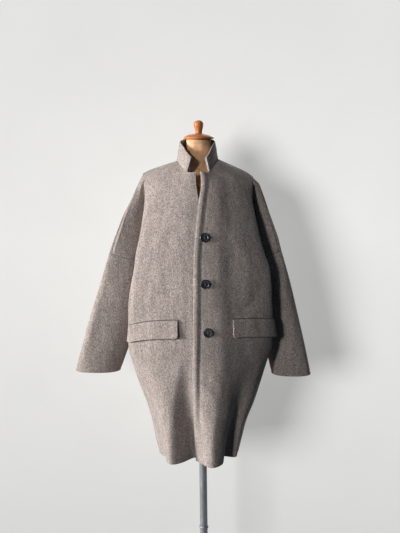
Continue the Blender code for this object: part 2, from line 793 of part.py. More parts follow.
def flap_panel(front, side):
    """Pocket flap, made from its front's points moved out, more at the free lower edge."""
    places = np.array((1.0,) + CHEST_PLACES)
    columns = np.arange(len(places)) + first_columns(side) - 1
    start, end = FLAP_ENDS[side]
    inside = [place for place in places if start + FLAP_END_STEP < place < end - FLAP_END_STEP]
    stations = [start, start + FLAP_END_STEP] + inside + [end - FLAP_END_STEP, end]
    across = [float(np.interp(place, places, columns)) for place in stations]
    grid = []
    for down in FLAP_ROWS:
        row = []
        for number, column in enumerate(across):
            share = (stations[number] - start) / (end - start)
            corner = FLAP_CORNER * (number in (0, len(across) - 1)) * max(2 * down - 1, 0)
            z = FLAP_TOP_Z - FLAP_DROP[side] * share ** 2 - FLAP_HEIGHT * down + corner
            point, normal = panel_patch(front, row_at(z), column)
            lift = FLAP_SEAT + FLAP_STAND * down ** FLAP_CURVE
            row.append(point + normal * (lift + flap_wall(down)))
        grid.append(row)
    name = "flap_right" if side < 0 else "flap_left"
    walls = [[flap_wall(down)] * len(across) for down in FLAP_ROWS]
    return Panel(name, grid, -side, walls)


def button_seat(front, x, z):
    """Point on the upper front and its outward normal, at a place in the picture's plane."""
    row = row_at(z)
    columns = np.linspace(0, len(EDGE_SHARES) - 1, BUTTON_TRIES)
    points = [panel_patch(front, row, column) for column in columns]
    return min(points, key=lambda found: abs(found[0][0] - x))


def add_buttons(front, collection, material):
    """Round dished buttons, each on a thread shank that stands on the upper front."""
    profile = [(share * BUTTON_RADIUS, height) for share, height in BUTTON_PROFILE]
    for number, (x, z) in enumerate(BUTTON_PLACES):
        point, normal = button_seat(front, x, z)
        item = turned(f"button_{number + 1}", profile, collection, material, steps=20)
        seat = Vector(point + normal * BUTTON_SEAT) * MM
        turn = Vector(normal).to_track_quat("Z", "Y").to_matrix().to_4x4()
        item.matrix_world = Matrix.Translation(seat) @ turn


def form_ring(z):
    """Ring of the dress form at a height."""
    half = smooth(FORM, "z", "half_width", z)
    power = 2 / FORM_SQUARENESS
    ring = []
    for step in range(FORM_AROUND):
        turn = math.tau * step / FORM_AROUND
        across = math.copysign(abs(math.cos(turn)) ** power, math.cos(turn))
        deep = math.copysign(abs(math.sin(turn)) ** power, math.sin(turn))
        depth = smooth(FORM, "z", "front" if deep < 0 else "back", z)
        ring.append(Vector((half * across, depth * deep, z)) * MM)
    return ring


def add_form(collection, material):
    """Torso and neck in one covered piece, lofted through rings and closed at both ends."""
    mesh = bmesh.new()
    rings = [[mesh.verts.new(point) for point in form_ring(row[0])] for row in FORM_ROWS]
    for upper, lower in zip(rings, rings[1:]):
        for step in range(FORM_AROUND):
            after = (step + 1) % FORM_AROUND
            mesh.faces.new((upper[step], lower[step], lower[after], upper[after]))
    mesh.faces.new(rings[0])
    mesh.faces.new(rings[-1][::-1])
    bmesh.ops.recalc_face_normals(mesh, faces=mesh.faces[:])
    data = bpy.data.meshes.new("form_torso")
    mesh.to_mesh(data)
    mesh.free()
    data.shade_smooth()
    data.set_sharp_from_angle(angle=SHARP_ANGLE)
    add_object("form_torso", data, collection, material)


def add_stand(collection, wood, steel):
    """Turned neck cap and knob, pole with a small bead, and a plain round base."""
    cap = NECK_TOP + SEAM_GAP
    turned("neck_cap", [(radius, cap + rise) for radius, rise in CAP_PROFILE], collection, wood)
    knob = cap + CAP_PROFILE[0][1] + SEAM_GAP
    turned("neck_knob", [(radius, knob + rise) for radius, rise in KNOB_PROFILE], collection, wood,
           steps=24)
    top = FORM_BOTTOM - SEAM_GAP
    foot = BASE_THICK + SEAM_GAP
    turned("pole", ((0.0, top), (POLE_RADIUS, top), (POLE_RADIUS, BEAD_Z + BEAD_HALF),
                    (BEAD_RADIUS, BEAD_Z + BEAD_FLAT), (BEAD_RADIUS, BEAD_Z - BEAD_FLAT),
                    (POLE_RADIUS, BEAD_Z - BEAD_HALF), (POLE_RADIUS, foot), (0.0, foot)),
           collection, steel, steps=24)
    turned("base", ((0.0, BASE_THICK), (BASE_RADIUS - BASE_ROUND, BASE_THICK),
                    (BASE_RADIUS - BASE_SHOULDER, BASE_THICK - BASE_SHOULDER),
                    (BASE_RADIUS, BASE_THICK - BASE_ROUND), (BASE_RADIUS, BASE_FOOT),
                    (BASE_RADIUS - BASE_FOOT, 0.0), (0.0, 0.0)),
           collection, steel, steps=48)


def main():
    """Builds every piece in a collection of its own."""
    for item in list(bpy.data.objects):
        bpy.data.objects.remove(item)
    collection = bpy.data.collections.new("short_coat_on_dress_form")
    bpy.context.scene.collection.children.link(collection)
    panels = coat_panels()
    for group in panels.values():
        for panel in group:
            panel.pull_back()
    for name, group in panels.items():
        add_object(name, wall_mesh(group, name), collection, new_material(name + "_wool", WOOL))
    for side, name in ((-1, "front_right"), (1, "front_left")):
        flap = flap_panel(panels[name][0], side)
        data = wall_mesh([flap], flap.name)
        add_object(flap.name, data, collection, new_material(flap.name + "_wool", WOOL))
    add_buttons(panels["front_left"][0], collection, new_material("button_black", BUTTON_BLACK))
    add_form(collection, new_material("linen", LINEN))
    add_stand(collection, new_material("turned_wood", TURNED_WOOD),
              new_material("pole_steel", POLE_STEEL))


main()
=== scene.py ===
"""Looks of a short felted wool coat, buttoned on a limbless dress form with a pole and a base.

Run as a script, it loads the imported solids, replaces them with finer pieces of the same shape and
size, and sets the stage, the lights and the camera. The coat's front faces -Y and +X is the
viewer's right, so the wearer's left side is at +X. Tables are in millimetres, meshes in metres.
"""
import functools
import math

import bpy
import numpy as np
from mathutils import Matrix, Vector


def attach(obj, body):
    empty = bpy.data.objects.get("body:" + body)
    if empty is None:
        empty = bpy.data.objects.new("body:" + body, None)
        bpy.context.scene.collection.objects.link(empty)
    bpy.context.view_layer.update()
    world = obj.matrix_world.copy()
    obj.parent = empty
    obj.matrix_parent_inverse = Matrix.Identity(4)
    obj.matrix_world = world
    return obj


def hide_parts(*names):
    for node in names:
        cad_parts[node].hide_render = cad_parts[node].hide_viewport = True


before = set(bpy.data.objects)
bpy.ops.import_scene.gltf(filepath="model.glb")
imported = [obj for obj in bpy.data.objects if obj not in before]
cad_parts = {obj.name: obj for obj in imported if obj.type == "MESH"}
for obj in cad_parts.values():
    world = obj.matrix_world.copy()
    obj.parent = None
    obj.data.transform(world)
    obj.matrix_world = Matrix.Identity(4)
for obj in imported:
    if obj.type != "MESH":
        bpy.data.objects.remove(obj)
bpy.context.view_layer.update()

bl_info = {
    "name": "Short wool coat on a dress form",
    "version": (1, 0, 0),
    "blender": (4, 5, 0),
    "location": "View3D > Sidebar > Coat",
    "description": "Builds a felted wool coat, its dress form and stand, and a plain stage",
    "category": "Object",
}

MM = 0.001

# Driving sizes, in millimetres, as in the solids
CLOTH = 3.0
SEAM_GAP = 0.3
HEM = 500.0
UNDERARM = 1095.0
CHEST_TOP = 1335.0
NECK_FRONT = 1381.0
EDGE_THICK = 6.5
COLLAR_THICK = 4.5
COLLAR_GAP = 0.6
FLAP_THICK = 5.0
FLAP_HEIGHT = 54.0
BUTTON_RADIUS = 14.0
POLE_RADIUS = 12.0
BASE_RADIUS = 185.0
BASE_THICK = 16.0

# Landmarks along a section, counted from the centre line out to each side
CENTRE, INNER, MID, RIM, SIDE, ARM, OVER = range(7)
INNER_SHARE = 0.30
MID_SHARE = 0.72
FULLNESS = {"front": 1.6, "back": 2.4}

# Body sections: half widths at the front fold (left and right of the picture), depths from the
# axis plane at the centre front, the front fold, the centre back and the back fold, and the side
# valley: its share of the half width and where its front and back walls lie
BODY_NAMES = ("z", "left", "right", "front", "front_fold", "back", "back_fold",
              "side_share", "side_front", "side_back")
BODY_ROWS = (
    (1335, 159, 154, 102, 44, 96, 62, 1.040, -24.0, 42.0),
    (1285, 162, 156, 119, 62, 118, 82, 0.987, -10.0, 52.0),
    (1240, 170, 165, 132, 73, 130, 94, 0.920, -2.0, 46.0),
    (1190, 180, 176, 143, 81, 139, 103, 0.842, 3.0, 36.0),
    (1140, 191, 190, 152, 86, 146, 108, 0.765, 8.0, 25.0),
    (1095, 197, 205, 158, 88, 151, 110, 0.710, 10.0, 18.0),
    (1088, 198, 206, 159, 88, 152, 110, 0.664, 14.0, 14.0),
    (1045, 205, 212, 164, 88, 156, 109, 0.650, 14.5, 14.5),
    (990, 212, 215, 168, 87, 160, 106, 0.695, 14.5, 14.5),
    (930, 216, 216, 171, 82, 162, 100, 0.760, 13.0, 13.0),
    (880, 219, 216, 171, 74, 162, 92, 0.820, 12.0, 12.0),
    (845, 219, 211, 169, 66, 161, 84, 0.870, 11.0, 11.0),
    (800, 208, 196, 163, 58, 157, 72, 0.945, 9.0, 9.0),
    (745, 191, 180, 153, 48, 150, 60, 1.000, 7.0, 7.0),
    (675, 167, 157, 139, 42, 140, 52, 1.026, 6.0, 6.0),
    (610, 150, 133, 126, 38, 131, 46, 1.044, 5.0, 5.0),
    (545, 138, 116, 112, 35, 123, 42, 1.060, 5.0, 5.0),
    (500, 128, 105, 104, 33, 118, 40, 1.070, 5.0, 5.0),
)
BACK_WIDTH_SHARE = 0.96

# Upper arm, part of front and back: the overarm seam and the faces between it and the valley
ARM_NAMES = ("z", "over_z", "left", "right", "over_y", "front_y", "back_y")
ARM_ROWS = (
    (1335, 1335, 188, 182, -9, -24, 40),
    (1285, 1290, 209, 198, -14, -25, 50),
    (1240, 1252, 230, 210, -17, -24, 58),
    (1190, 1212, 247, 224, -19, -22, 63),
    (1140, 1173, 263, 237, -19, -21, 60),
    (1095, 1137, 276, 246, -18, -21, 58),
)

# Neckline and shoulder seam, and the way the cloth runs up to them in front and behind
TOP_NAMES = ("left_x", "right_x", "y", "left_z", "right_z", "run_in", "run_y", "run_z")
FRONT_TOP = {
    CENTRE: (0, 0, -86, 1381, 1381, 0, 16, 46),
    INNER: (-34, 29, -77, 1380, 1379, 10, 24, 42),
    MID: (-64, 54, -4, 1412, 1416, 12, 88, 26),
}
BACK_TOP = {
    CENTRE: (-4, -4, 60, 1420, 1420, 0, -30, 70),
    INNER: (-38, 29, 47, 1418, 1420, 6, -38, 66),
    MID: (-64, 54, -4, 1412, 1416, 12, -88, 26),
}
SHOULDER = {
    RIM: (-110, 102, -1, 1397.5, 1394, 8, 66, 10),
    SIDE: (-132, 124, -1, 1390.5, 1384, 10, 54, 13),
    ARM: (-152, 144, -2, 1383.5, 1373.5, 12, 34, 20),
    OVER: (-168, 160, -3, 1375, 1362, 16, 0, 32),
}

# Front edges: where the upper front (viewer's right) and the under front end, by height
EDGE_NAMES = ("z", "upper", "under")
EDGE_ROWS = (
    (1381, 2, -11), (1341, 5, -9), (1298, -2, -2), (1228, -11, 28), (1158, -18, 44),
    (1044, -22, 46), (928, -24, 46), (775, -29, 46), (642, -27, 46), (500, -20, 44),
)
LAP_LIFT = 5.0
LAP_FROM = 50.0
LAP_TO = 92.0

# Folds of the skirt: landmark position of the centre, half width in landmarks, depth at the hem,
# height where the fold starts
FRONT_FOLDS = (
    (-1.73, 0.95, 40, 850),
    (-0.80, 1.05, -34, 835),
    (0.86, 1.20, 40, 880),
    (1.95, 0.65, -32, 870),
    (2.52, 0.60, 12, 800),
)
BACK_FOLDS = (
    (-2.50, 0.80, 16, 820),
    (-1.60, 0.80, -26, 850),
    (-0.65, 0.90, 28, 880),
    (0.40, 0.80, -24, 840),
    (1.35, 0.90, 27, 870),
    (2.35, 0.80, -20, 830),
)
FOLD_GROWTH = 1.35
FOLD_LEAN = 0.5
RUN_STEP = 8.0

# Sleeves: sections from the seam (fall 0) to the cuff (fall 1)
SLEEVE_NAMES = ("fall", "left_outer", "left_inner", "right_outer", "right_inner",
                "middle_y", "half_depth", "tilt")
SLEEVE_ROWS = (
    (0.00, 276, 143, 246, 145, 14, 51, 34),
    (0.25, 306, 166, 274, 163, 15, 50, 36),
    (0.50, 337, 195, 297, 181, 14, 46, 33),
    (0.75, 365, 224, 319, 200, 10, 44, 28),
    (1.00, 392, 255, 339, 219, 6, 42, 18),
)
CUFF_OUTER_Z = {-1: 770.0, 1: 748.0}
CUFF_INNER_Z = {-1: 763.0, 1: 746.0}
SLEEVE_SQUARENESS = 2.3
SLEEVE_TIP = 0.012
SEAM_FADE = 0.34

# Collar, turned up: its top edge at stations from the front end to the centre back
COLLAR_NAMES = ("station", "left_x", "right_x", "y", "z")
COLLAR_ROWS = (
    (0.00, -23, 23, -71, 1418),
    (0.25, -45, 39, -42, 1450),
    (0.50, -57, 48, -3, 1468),
    (0.75, -38, 30, 46, 1476),
    (1.00, -4, -4, 59, 1478),
)

# Pocket flaps: landmark positions of the inner and outer ends
FLAP_ENDS = {-1: (1.02, 2.80), 1: (1.29, 3.02)}
FLAP_TOP_Z = 955.0
FLAP_DROP = {-1: 26.0, 1: 17.0}
FLAP_SEAT = 0.7
FLAP_STAND = 5.5
FLAP_CORNER = 9.0
FLAP_SEAM_ABOVE = 0.4
FLAP_SEAM_SUNK = 2.2
FLAP_STITCH = 7.0
FLAP_STITCH_GAP = 0.5
FLAP_THREAD = 1.1
STITCH_POINTS = 5
FLAP_SEAM_WALL = 0.6
FLAP_FULL_AT = 0.13
FLAP_CURVE = 1.5

# Buttons: place on the upper front
BUTTON_PLACES = ((13.0, 1191.0), (13.0, 1060.0), (19.0, 921.0))
BUTTON_SEAT = 0.45
# Profile of a button from its middle: share of its radius, height above its seat
BUTTON_PROFILE = ((0.0, 5.2), (0.50, 5.2), (0.60, 5.5), (0.70, 6.0), (0.84, 6.25), (0.95, 6.0),
                  (1.0, 5.2), (0.99, 4.3), (0.9, 3.4), (0.75, 2.8), (0.29, 2.6), (0.27, 0.0),
                  (0.0, 0.0))
# Holes of a button, the thread through them, and the buttonhole's loop round its slit
BUTTON_HOLE = 1.25
HOLE_ASIDE = 2.3
HOLE_TOP = 6.0
HOLE_FLOOR = 3.4
BUTTON_THREAD = 0.55
THREAD_DIP = 2.0
HOLE_THREAD = 0.9
HOLE_REACH = 20.0
HOLE_BACK = 7.0
HOLE_HALF = 1.3
HOLE_SQUARENESS = 0.4

# Rounding of the buttons and their threads, and where a slope is taken on a front
BUTTON_SIDES = 64
HOLE_SIDES = 20
THREAD_POINTS = 9
LOOP_POINTS = 41
THREAD_ACROSS = (0.31, 0.83, 0.46)
SHARP = math.radians(40)
PATCH_ASIDE = 0.01
PATCH_RISE = 1.0
# Landmark positions across the lap, where a button's place is looked for
LAP_PLACES = np.linspace(-0.5, 1.0, 61)

# Dress form: half width, depth in front and behind of each level
FORM_NAMES = ("z", "half_width", "front", "back")
FORM_ROWS = (
    (1474, 37, 37, 37), (1440, 37, 36, 38), (1415, 39, 36, 40), (1403, 52, 34, 41),
    (1393, 86, 36, 42), (1381, 113, 46, 50), (1367, 134, 58, 60), (1340, 142, 78, 76),
    (1290, 140, 96, 88), (1240, 139, 106, 92), (1190, 136, 106, 92), (1140, 128, 98, 88),
    (1085, 115, 88, 80), (1035, 110, 84, 78), (980, 122, 92, 88), (910, 144, 102, 104),
    (840, 152, 106, 112), (770, 150, 104, 110), (735, 146, 100, 106), (722, 138, 92, 98),
)
FORM_SQUARENESS = 2.2
FORM_SIDES = 84
FORM_LEVELS = 110
WOOD_SIDES = 72
FORM_BOTTOM = 722.0
NECK_TOP = 1474.0

# Turned pieces: radius and height above their own seat, from the top down
CAP_PROFILE = ((0.0, 17), (14, 16.6), (28, 14), (39, 9.5), (45, 5), (46, 2.5), (45, 0.3),
               (44, 0), (0.0, 0))
KNOB_PROFILE = ((0.0, 38), (6.4, 37.2), (11.4, 34.2), (14.4, 29.4), (14.8, 25), (13.8, 19.4),
                (12.2, 13), (11.0, 7), (10.6, 3), (10.8, 0.3), (10.4, 0), (0.0, 0))
BEAD_Z = 246.0
BEAD_RADIUS = 14.6
BEAD_HALF = 5.0
BEAD_POINTS = 9
POLE_ROUND = 0.6
POLE_SIDES = 48
BASE_ROUND = 5.0
BASE_FOOT = 2.0
BASE_FLAT = 4.0
BASE_POINTS = 8
BASE_SIDES = 128

# Fine rows and columns of the cloth
TOP_STEPS = 16
LEVEL_STEP = 8.0
CHEST_STEPS = 63
BACK_STEPS = 84
COLLAR_STEPS = 14
EDGE_ROUND = 0.42
# Columns of a front from its edge to the inner landmark, closer together over the rolled edge
EDGE_PARTS = np.concatenate([[0, 0.008, 0.018, 0.030, 0.045, 0.062, 0.080], np.arange(0.1, 0.3, 0.024),
                             [0.32, 0.35], np.linspace(0.39, 1, 10)])
EDGE_STEPS = len(EDGE_PARTS) - 1
# Columns over the arm, closer together beside the overarm seam
ARM_PLACES = np.concatenate([np.linspace(SIDE, 5.5, 15)[1:], np.linspace(5.5, OVER, 15)[1:]])
ARM_STEPS = len(ARM_PLACES)
# Rings of a sleeve, closer together over the turned-up cuff
SLEEVE_FALLS = np.concatenate([np.linspace(0, 0.93, 42), np.linspace(0.94, 1, 11)])

# Rolled front edge: how far its rounding, its top and its stitched groove lie from the edge, the
# groove's half width and depth, and the least wall at the edge
ROLL_ROUND = 8.0
ROLL_TOP = 10.0
ROLL_END = 20.0
ROLL_GROOVE = 21.5
GROOVE_HALF = 2.6
GROOVE_DEPTH = 1.1
EDGE_LEAST = 0.8
# Trough of the under front beside that edge, while the fronts are closed
LAP_OPEN = 1298.0
LAP_CLOSED = 1200.0
TROUGH_DEPTH = 4.5
TROUGH_ASIDE = 4.0
TROUGH_HALF = 36.0
# Overarm seam: where its groove and the ridge beside it lie between the landmarks
OVERARM_GROOVE = 5.75
OVERARM_GROOVE_HALF = 0.05
OVERARM_GROOVE_DEPTH = 2.2
OVERARM_RIDGE = 5.63
OVERARM_RIDGE_HALF = 0.06
OVERARM_RIDGE_RISE = 1.3
# It fades out over this rise above the sleeve's seam and over these shares below the shoulder
OVERARM_FOOT_RUN = 14.0
OVERARM_TOP = 0.7
OVERARM_TOP_RUN = 0.4
# Turned-up cuff: fall, depth and half width of its stitched line
CUFF_LINE = 0.975
CUFF_GROOVE = 0.9
CUFF_GROOVE_HALF = 0.008
# Collar: its soft roll, the flare and fuller wall of its front ends, and its foot over the seam
COLLAR_TUCK = 3.0
COLLAR_TUCK_IN = 1.0
COLLAR_ROLL = 2.2
COLLAR_ROLL_FROM = 0.3
COLLAR_FLARE = 3.0
COLLAR_FLARE_END = 0.12
COLLAR_FOOT = 3.5
COLLAR_FOOT_RISE = 0.4
COLLAR_REACH = 5.0
COLLAR_LIP = 3.0
COLLAR_END = 0.08

# Soft creases: face, first end and last end in the picture's plane, how far the middle bows to
# the side, half width, and height of the ridge (a trough is below zero)
CREASES = (
    ("front", (60, 1260), (150, 1120), 6, 20, 2.4),
    ("front", (165, 1030), (120, 965), -4, 16, -3.0),
    ("front", (-60, 1290), (-150, 1150), -8, 22, 2.0),
    ("front", (-150, 1010), (-95, 985), 4, 18, -2.0),
    ("front", (-56, 860), (-100, 560), 6, 20, 4.2),
    ("front", (110, 905), (150, 760), -8, 18, -2.6),
    ("front", (74, 1030), (72, 600), 4, 24, 3.4),
    ("front", (-40, 880), (-58, 580), -4, 17, -3.0),
    ("front", (22, 806), (50, 764), 3, 9, 1.7),
    ("front", (20, 772), (44, 716), -3, 8, -1.6),
    ("front", (34, 742), (52, 680), 2, 9, 1.5),
    ("front", (18, 706), (38, 640), -2, 8, -1.3),
    ("front", (185, 1000), (190, 880), 2, 15, 2.4),
    ("front", (-190, 1040), (-198, 900), 2, 15, 2.0),
    ("back", (-70, 1290), (-150, 1130), 6, 24, 2.4),
    ("back", (75, 1280), (150, 1120), 8, 22, 2.2),
    ("back", (-60, 1010), (50, 990), 8, 24, -2.0),
    ("back", (-110, 880), (-80, 640), 6, 22, 2.8),
    ("back", (105, 900), (95, 660), -6, 20, -2.6),
    ("back", (10, 930), (-4, 700), 5, 26, 2.2),
)
# Broad unevenness of hanging cloth: wave lengths across and down, phase, height
WAVES = ((310, 420, 0.4, 1.3), (170, 260, 2.1, 0.9), (95, 140, 4.0, 0.5))
# The waves lean and run otherwise on the back, and are less deep over the shoulders
BACK_PHASE = 1.7
WAVE_SWAY = 0.8
SWAY_RUN = 160.0
DOWN_SHARE = 0.6
DOWN_RUN = 130.0
DRAPE_TOP = CHEST_TOP + 30.0
DRAPE_RUN = 80.0
DRAPE_LEAST = 0.35
# Seams hold the drape down: how fast it grows below the shoulder, and columns beside a side seam
SHOULDER_FADE = 3.0
SIDE_FADE = 8.0

# Long folds of each sleeve: place between underarm (0) and overarm (1) at the start and the end,
# fall at the start and the end, half width, height on the front and on the back
SLEEVE_FOLDS = {
    -1: (
        (0.93, 0.94, 0.02, 1.02, 0.060, 0.8, 1.4),
        (0.56, 0.50, -0.08, 1.04, 0.240, -6.0, -1.5),
        (0.73, 0.61, -0.04, 1.02, 0.140, -5.5, -3.0),
        (0.40, 0.33, 0.12, 1.05, 0.090, 2.6, 2.2),
        (0.20, 0.18, 0.06, 0.92, 0.095, -3.0, 2.4),
        (0.30, 0.18, 0.58, 1.00, 0.075, 0.8, -2.4),
    ),
    1: (
        (0.44, 0.32, -0.04, 0.90, 0.120, -9.0, -2.6),
        (0.64, 0.56, 0.10, 1.04, 0.130, 2.2, 2.0),
        (0.82, 0.78, 0.16, 0.80, 0.085, -1.8, 2.2),
        (0.26, 0.20, 0.50, 0.98, 0.080, 1.6, -2.2),
    ),
}
# They grow from nothing at the seam to full over this fall
FOLDS_BEGIN = 0.05

# Rows and columns of a flap, closer together at its seam and its ends
FLAP_DOWN = np.concatenate([[0.0, 0.04, 0.08], np.linspace(0.13, 1.0, 13)])
FLAP_ACROSS = np.concatenate([[0.0, 0.015, 0.03, 0.05, 0.075], np.linspace(0.1, 0.9, 33),
                              [0.925, 0.95, 0.97, 0.985, 1.0]])

# Stage in metres: painted shade darkens the wall's colour and glow above and below its middle; then the
# camera and lights
WALL_Y = 0.205
WALL_HALF = 5.0
WALL_TOP = 4.0
WALL_SHADED = 2.3
FLOOR_FRONT = -6.0
FLOOR_BACK = 6.0
FLOOR_GLOW = 0.5
CAMERA_SENSOR = 36.0
CAMERA_LENS = 54.1
CAMERA_X = -0.0014
WARM = (1.0, 0.975, 0.945)
COOL = (0.55, 0.76, 1.0)
FILL_SHARPNESS = 3.0
ROOM_SOFTNESS = math.radians(150)
BEHIND_ASIDE = math.radians(200)


def table(names, rows):
    """Columns of a table by name."""
    return dict(zip(names, np.array(rows, dtype=float).T))


TABLES = {
    "body": table(BODY_NAMES, BODY_ROWS),
    "arm": table(ARM_NAMES, ARM_ROWS),
    "edge": table(EDGE_NAMES, EDGE_ROWS),
    "sleeve": table(SLEEVE_NAMES, SLEEVE_ROWS),
    "collar": table(COLLAR_NAMES, COLLAR_ROWS),
    "form": table(FORM_NAMES, FORM_ROWS),
}


def hermite(start, end, start_run, end_run, share):
    """Cubic between two values or points with a given run at each end."""
    square = share * share
    cube = square * share
    return ((2 * cube - 3 * square + 1) * start + (cube - 2 * square + share) * start_run
            + (3 * square - 2 * cube) * end + (cube - square) * end_run)


def ease(share):
    """Soft step from 0 to 1."""
    return share * share * (3 - 2 * share)


def squared(wave, power):
    """Sine or cosine of a turn, made squarer or rounder by a power."""
    return np.sign(wave) * np.abs(wave) ** power


@functools.cache
def column(sheet, name):
    """Places, values and slopes of a table's column, in rising order of its first column."""
    columns = TABLES[sheet]
    key = next(iter(columns))
    order = np.argsort(columns[key])
    places = columns[key][order]
    values = columns[name][order]
    return places, values, np.gradient(values, places)


@functools.cache
def smooth(sheet, name, at):
    """Value of a table's column on a smooth curve through its rows."""
    places, values, slopes = column(sheet, name)
    at = min(max(at, places[0]), places[-1])
    index = min(int(np.searchsorted(places, at, side="right")) - 1, len(places) - 2)
    span = places[index + 1] - places[index]
    return hermite(values[index], values[index + 1], slopes[index] * span,
                   slopes[index + 1] * span, (at - places[index]) / span)


def along(points, place):
    """Point at a place on the smooth curve through a list of points, by index."""
    last = len(points) - 1
    index = min(max(int(math.floor(place)), 0), last - 1)
    before = points[max(index - 1, 0)]
    start = points[index]
    end = points[index + 1]
    after = points[min(index + 2, last)]
    return hermite(start, end, (end - before) / 2, (after - start) / 2, place - index)


def side_name(side):
    """Column name for a side: -1 is the left of the picture, 1 the right."""
    return "left" if side < 0 else "right"


def arc_depth(face, centre, fold, share):
    """Depth of the rounded front or back at a share of the half width."""
    power = FULLNESS[face]
    return fold + (centre - fold) * (1 - share ** power) ** (1 / power)


@functools.cache
def half_section(face, z, side):
    """Landmark points of one half of a section, from the centre line outwards."""
    width = smooth("body", side_name(side), z)
    depth = smooth("body", face, z)
    fold = smooth("body", face + "_fold", z)
    sign = -1 if face == "front" else 1
    half = width * (BACK_WIDTH_SHARE if face == "back" else 1.0)
    valley = smooth("body", "side_share", z) * width
    points = [np.array((0.0, sign * depth, z))]
    for share in (INNER_SHARE, MID_SHARE, 1.0):
        points.append(np.array((side * share * half, sign * arc_depth(face, depth, fold, share), z)))
    points.append(np.array((side * valley, smooth("body", "side_" + face, z), z)))
    if z >= UNDERARM:
        over_z = smooth("arm", "over_z", z)
        over_x = smooth("arm", side_name(side), z)
        arm_y = smooth("arm", face + "_y", z)
        points.append(np.array((side * (valley + over_x) / 2, arm_y, (z + over_z) / 2)))
        points.append(np.array((side * over_x, smooth("arm", "over_y", z), over_z)))
    return points


@functools.cache
def level_points(face, z):
    """Landmarks of a whole section from left to right, with one of the other face at each end."""
    other = "back" if face == "front" else "front"
    left = half_section(face, z, -1)
    right = half_section(face, z, 1)
    beyond = RIM if z < UNDERARM else ARM
    return ([half_section(other, z, -1)[beyond]] + left[::-1] + right[1:]
            + [half_section(other, z, 1)[beyond]])


def level_point(face, z, place):
    """Point of a level section; place counts landmarks, negative on the left of the picture."""
    points = level_points(face, z)
    return along(points, place + (len(points) - 1) / 2)


def fold_depth(face, z, place):
    """How far the skirt's folds stand out at a place."""
    total = 0.0
    for centre, half_width, depth, start in FRONT_FOLDS if face == "front" else BACK_FOLDS:
        growth = min(max((start - z) / (start - HEM), 0.0), 1.0) ** FOLD_GROWTH
        reach = (place - centre) / half_width
        if abs(reach) < 1:
            total += depth * growth * (0.5 + 0.5 * math.cos(math.pi * reach))
    return total


def folded_point(face, z, place):
    """Level point with the skirt's folds."""
    point = level_point(face, z, place)
    outward = np.array((point[0] * FOLD_LEAN, point[1], 0.0))
    return point + outward / np.linalg.norm(outward) * fold_depth(face, z, place)


@functools.cache
def top_row(face, side):
    """Neckline and shoulder landmarks of one half, and the way the cloth runs up to them."""
    rows = {**(FRONT_TOP if face == "front" else BACK_TOP), **SHOULDER}
    points = []
    runs = []
    for landmark in range(OVER + 1):
        row = dict(zip(TOP_NAMES, rows[landmark]))
        name = side_name(side)
        points.append(np.array((row[name + "_x"], row["y"], row[name + "_z"]), dtype=float))
        run_y = row["run_y"] * (-1 if face == "back" and landmark in SHOULDER else 1)
        runs.append(np.array((-side * row["run_in"], run_y, row["run_z"]), dtype=float))
    return points, runs


def top_point(face, place):
    """Point of the neckline or shoulder seam, and the way the cloth runs up to it."""
    side = -1 if place < 0 else 1
    points, runs = top_row(face, side)
    other_points, other_runs = top_row(face, -side)
    place = abs(place)
    run = along([other_runs[INNER]] + runs, place + 1)
    if place >= MID:
        return along(points[MID:], place - MID), run
    return along([other_points[INNER]] + points[:MID + 1], place + 1), run


def shoulder_point(face, share, place):
    """Point between the chest section and the neckline or shoulder seam above it."""
    start = level_point(face, CHEST_TOP, place)
    below = level_point(face, CHEST_TOP - RUN_STEP, place)
    end, end_run = top_point(face, place)
    start_run = (start - below) / RUN_STEP * (end[2] - start[2])
    return hermite(start, end, start_run, end_run, share)


def surface_point(face, z, share, place):
    """Point of the coat's body, front or back."""
    if share > 0:
        return shoulder_point(face, share, place)
    return folded_point(face, z, place)


@functools.cache
def row_levels():
    """Every fine row of a panel: its height, and its share of the rise to the shoulder."""
    shares = np.linspace(1, 0, TOP_STEPS + 1)[:-1]
    rows = [(CHEST_TOP + share * (NECK_FRONT - CHEST_TOP), float(share)) for share in shares]
    upper = np.linspace(CHEST_TOP, UNDERARM, round((CHEST_TOP - UNDERARM) / LEVEL_STEP) + 1)
    lower = np.linspace(UNDERARM, HEM, round((UNDERARM - HEM) / LEVEL_STEP) + 1)[1:]
    return rows + [(float(z), 0.0) for z in (*upper, *lower)]


def row_shares():
    """Share of the rise to the shoulder of every fine row."""
    return np.array([share for _, share in row_levels()])


def edge_place(z, share, side):
    """Landmark position of a front edge; side 1 is the upper front."""
    edge = smooth("edge", "upper" if side > 0 else "under", z)
    edge_side = -1 if edge < 0 else 1
    width = INNER_SHARE * smooth("body", side_name(edge_side), z)
    notch = abs(FRONT_TOP[INNER][0 if edge_side < 0 else 1])
    return edge / (width + (notch - width) * share)


def edge_trough(x, z):
    """How far the under front sinks beside the edge that laps over it."""
    edge = np.array([[smooth("edge", "upper", float(height))] for height in z[:, 0]])
    closed = np.clip((LAP_OPEN - z) / (LAP_OPEN - LAP_CLOSED), 0, 1)
    return -TROUGH_DEPTH * closed * np.exp(-((x - edge + TROUGH_ASIDE) / TROUGH_HALF) ** 2)


def lap_lift(x, share):
    """How far the upper front stands out over the under front."""
    rise = np.clip((LAP_TO - x) / (LAP_TO - LAP_FROM), 0, 1) * (1 - share)
    return LAP_LIFT * ease(rise)


def edge_round(reach):
    """Share of the rolled edge's full thickness, by the distance from the edge."""
    return np.sqrt(np.clip(1 - np.clip((ROLL_ROUND - reach) / ROLL_ROUND, 0, 1) ** 2, 0, 1))


def edge_fade(reach):
    """Share of the rolled edge that is left, by the distance from the edge."""
    return ease(np.clip((ROLL_END - reach) / (ROLL_END - ROLL_TOP), 0, 1))


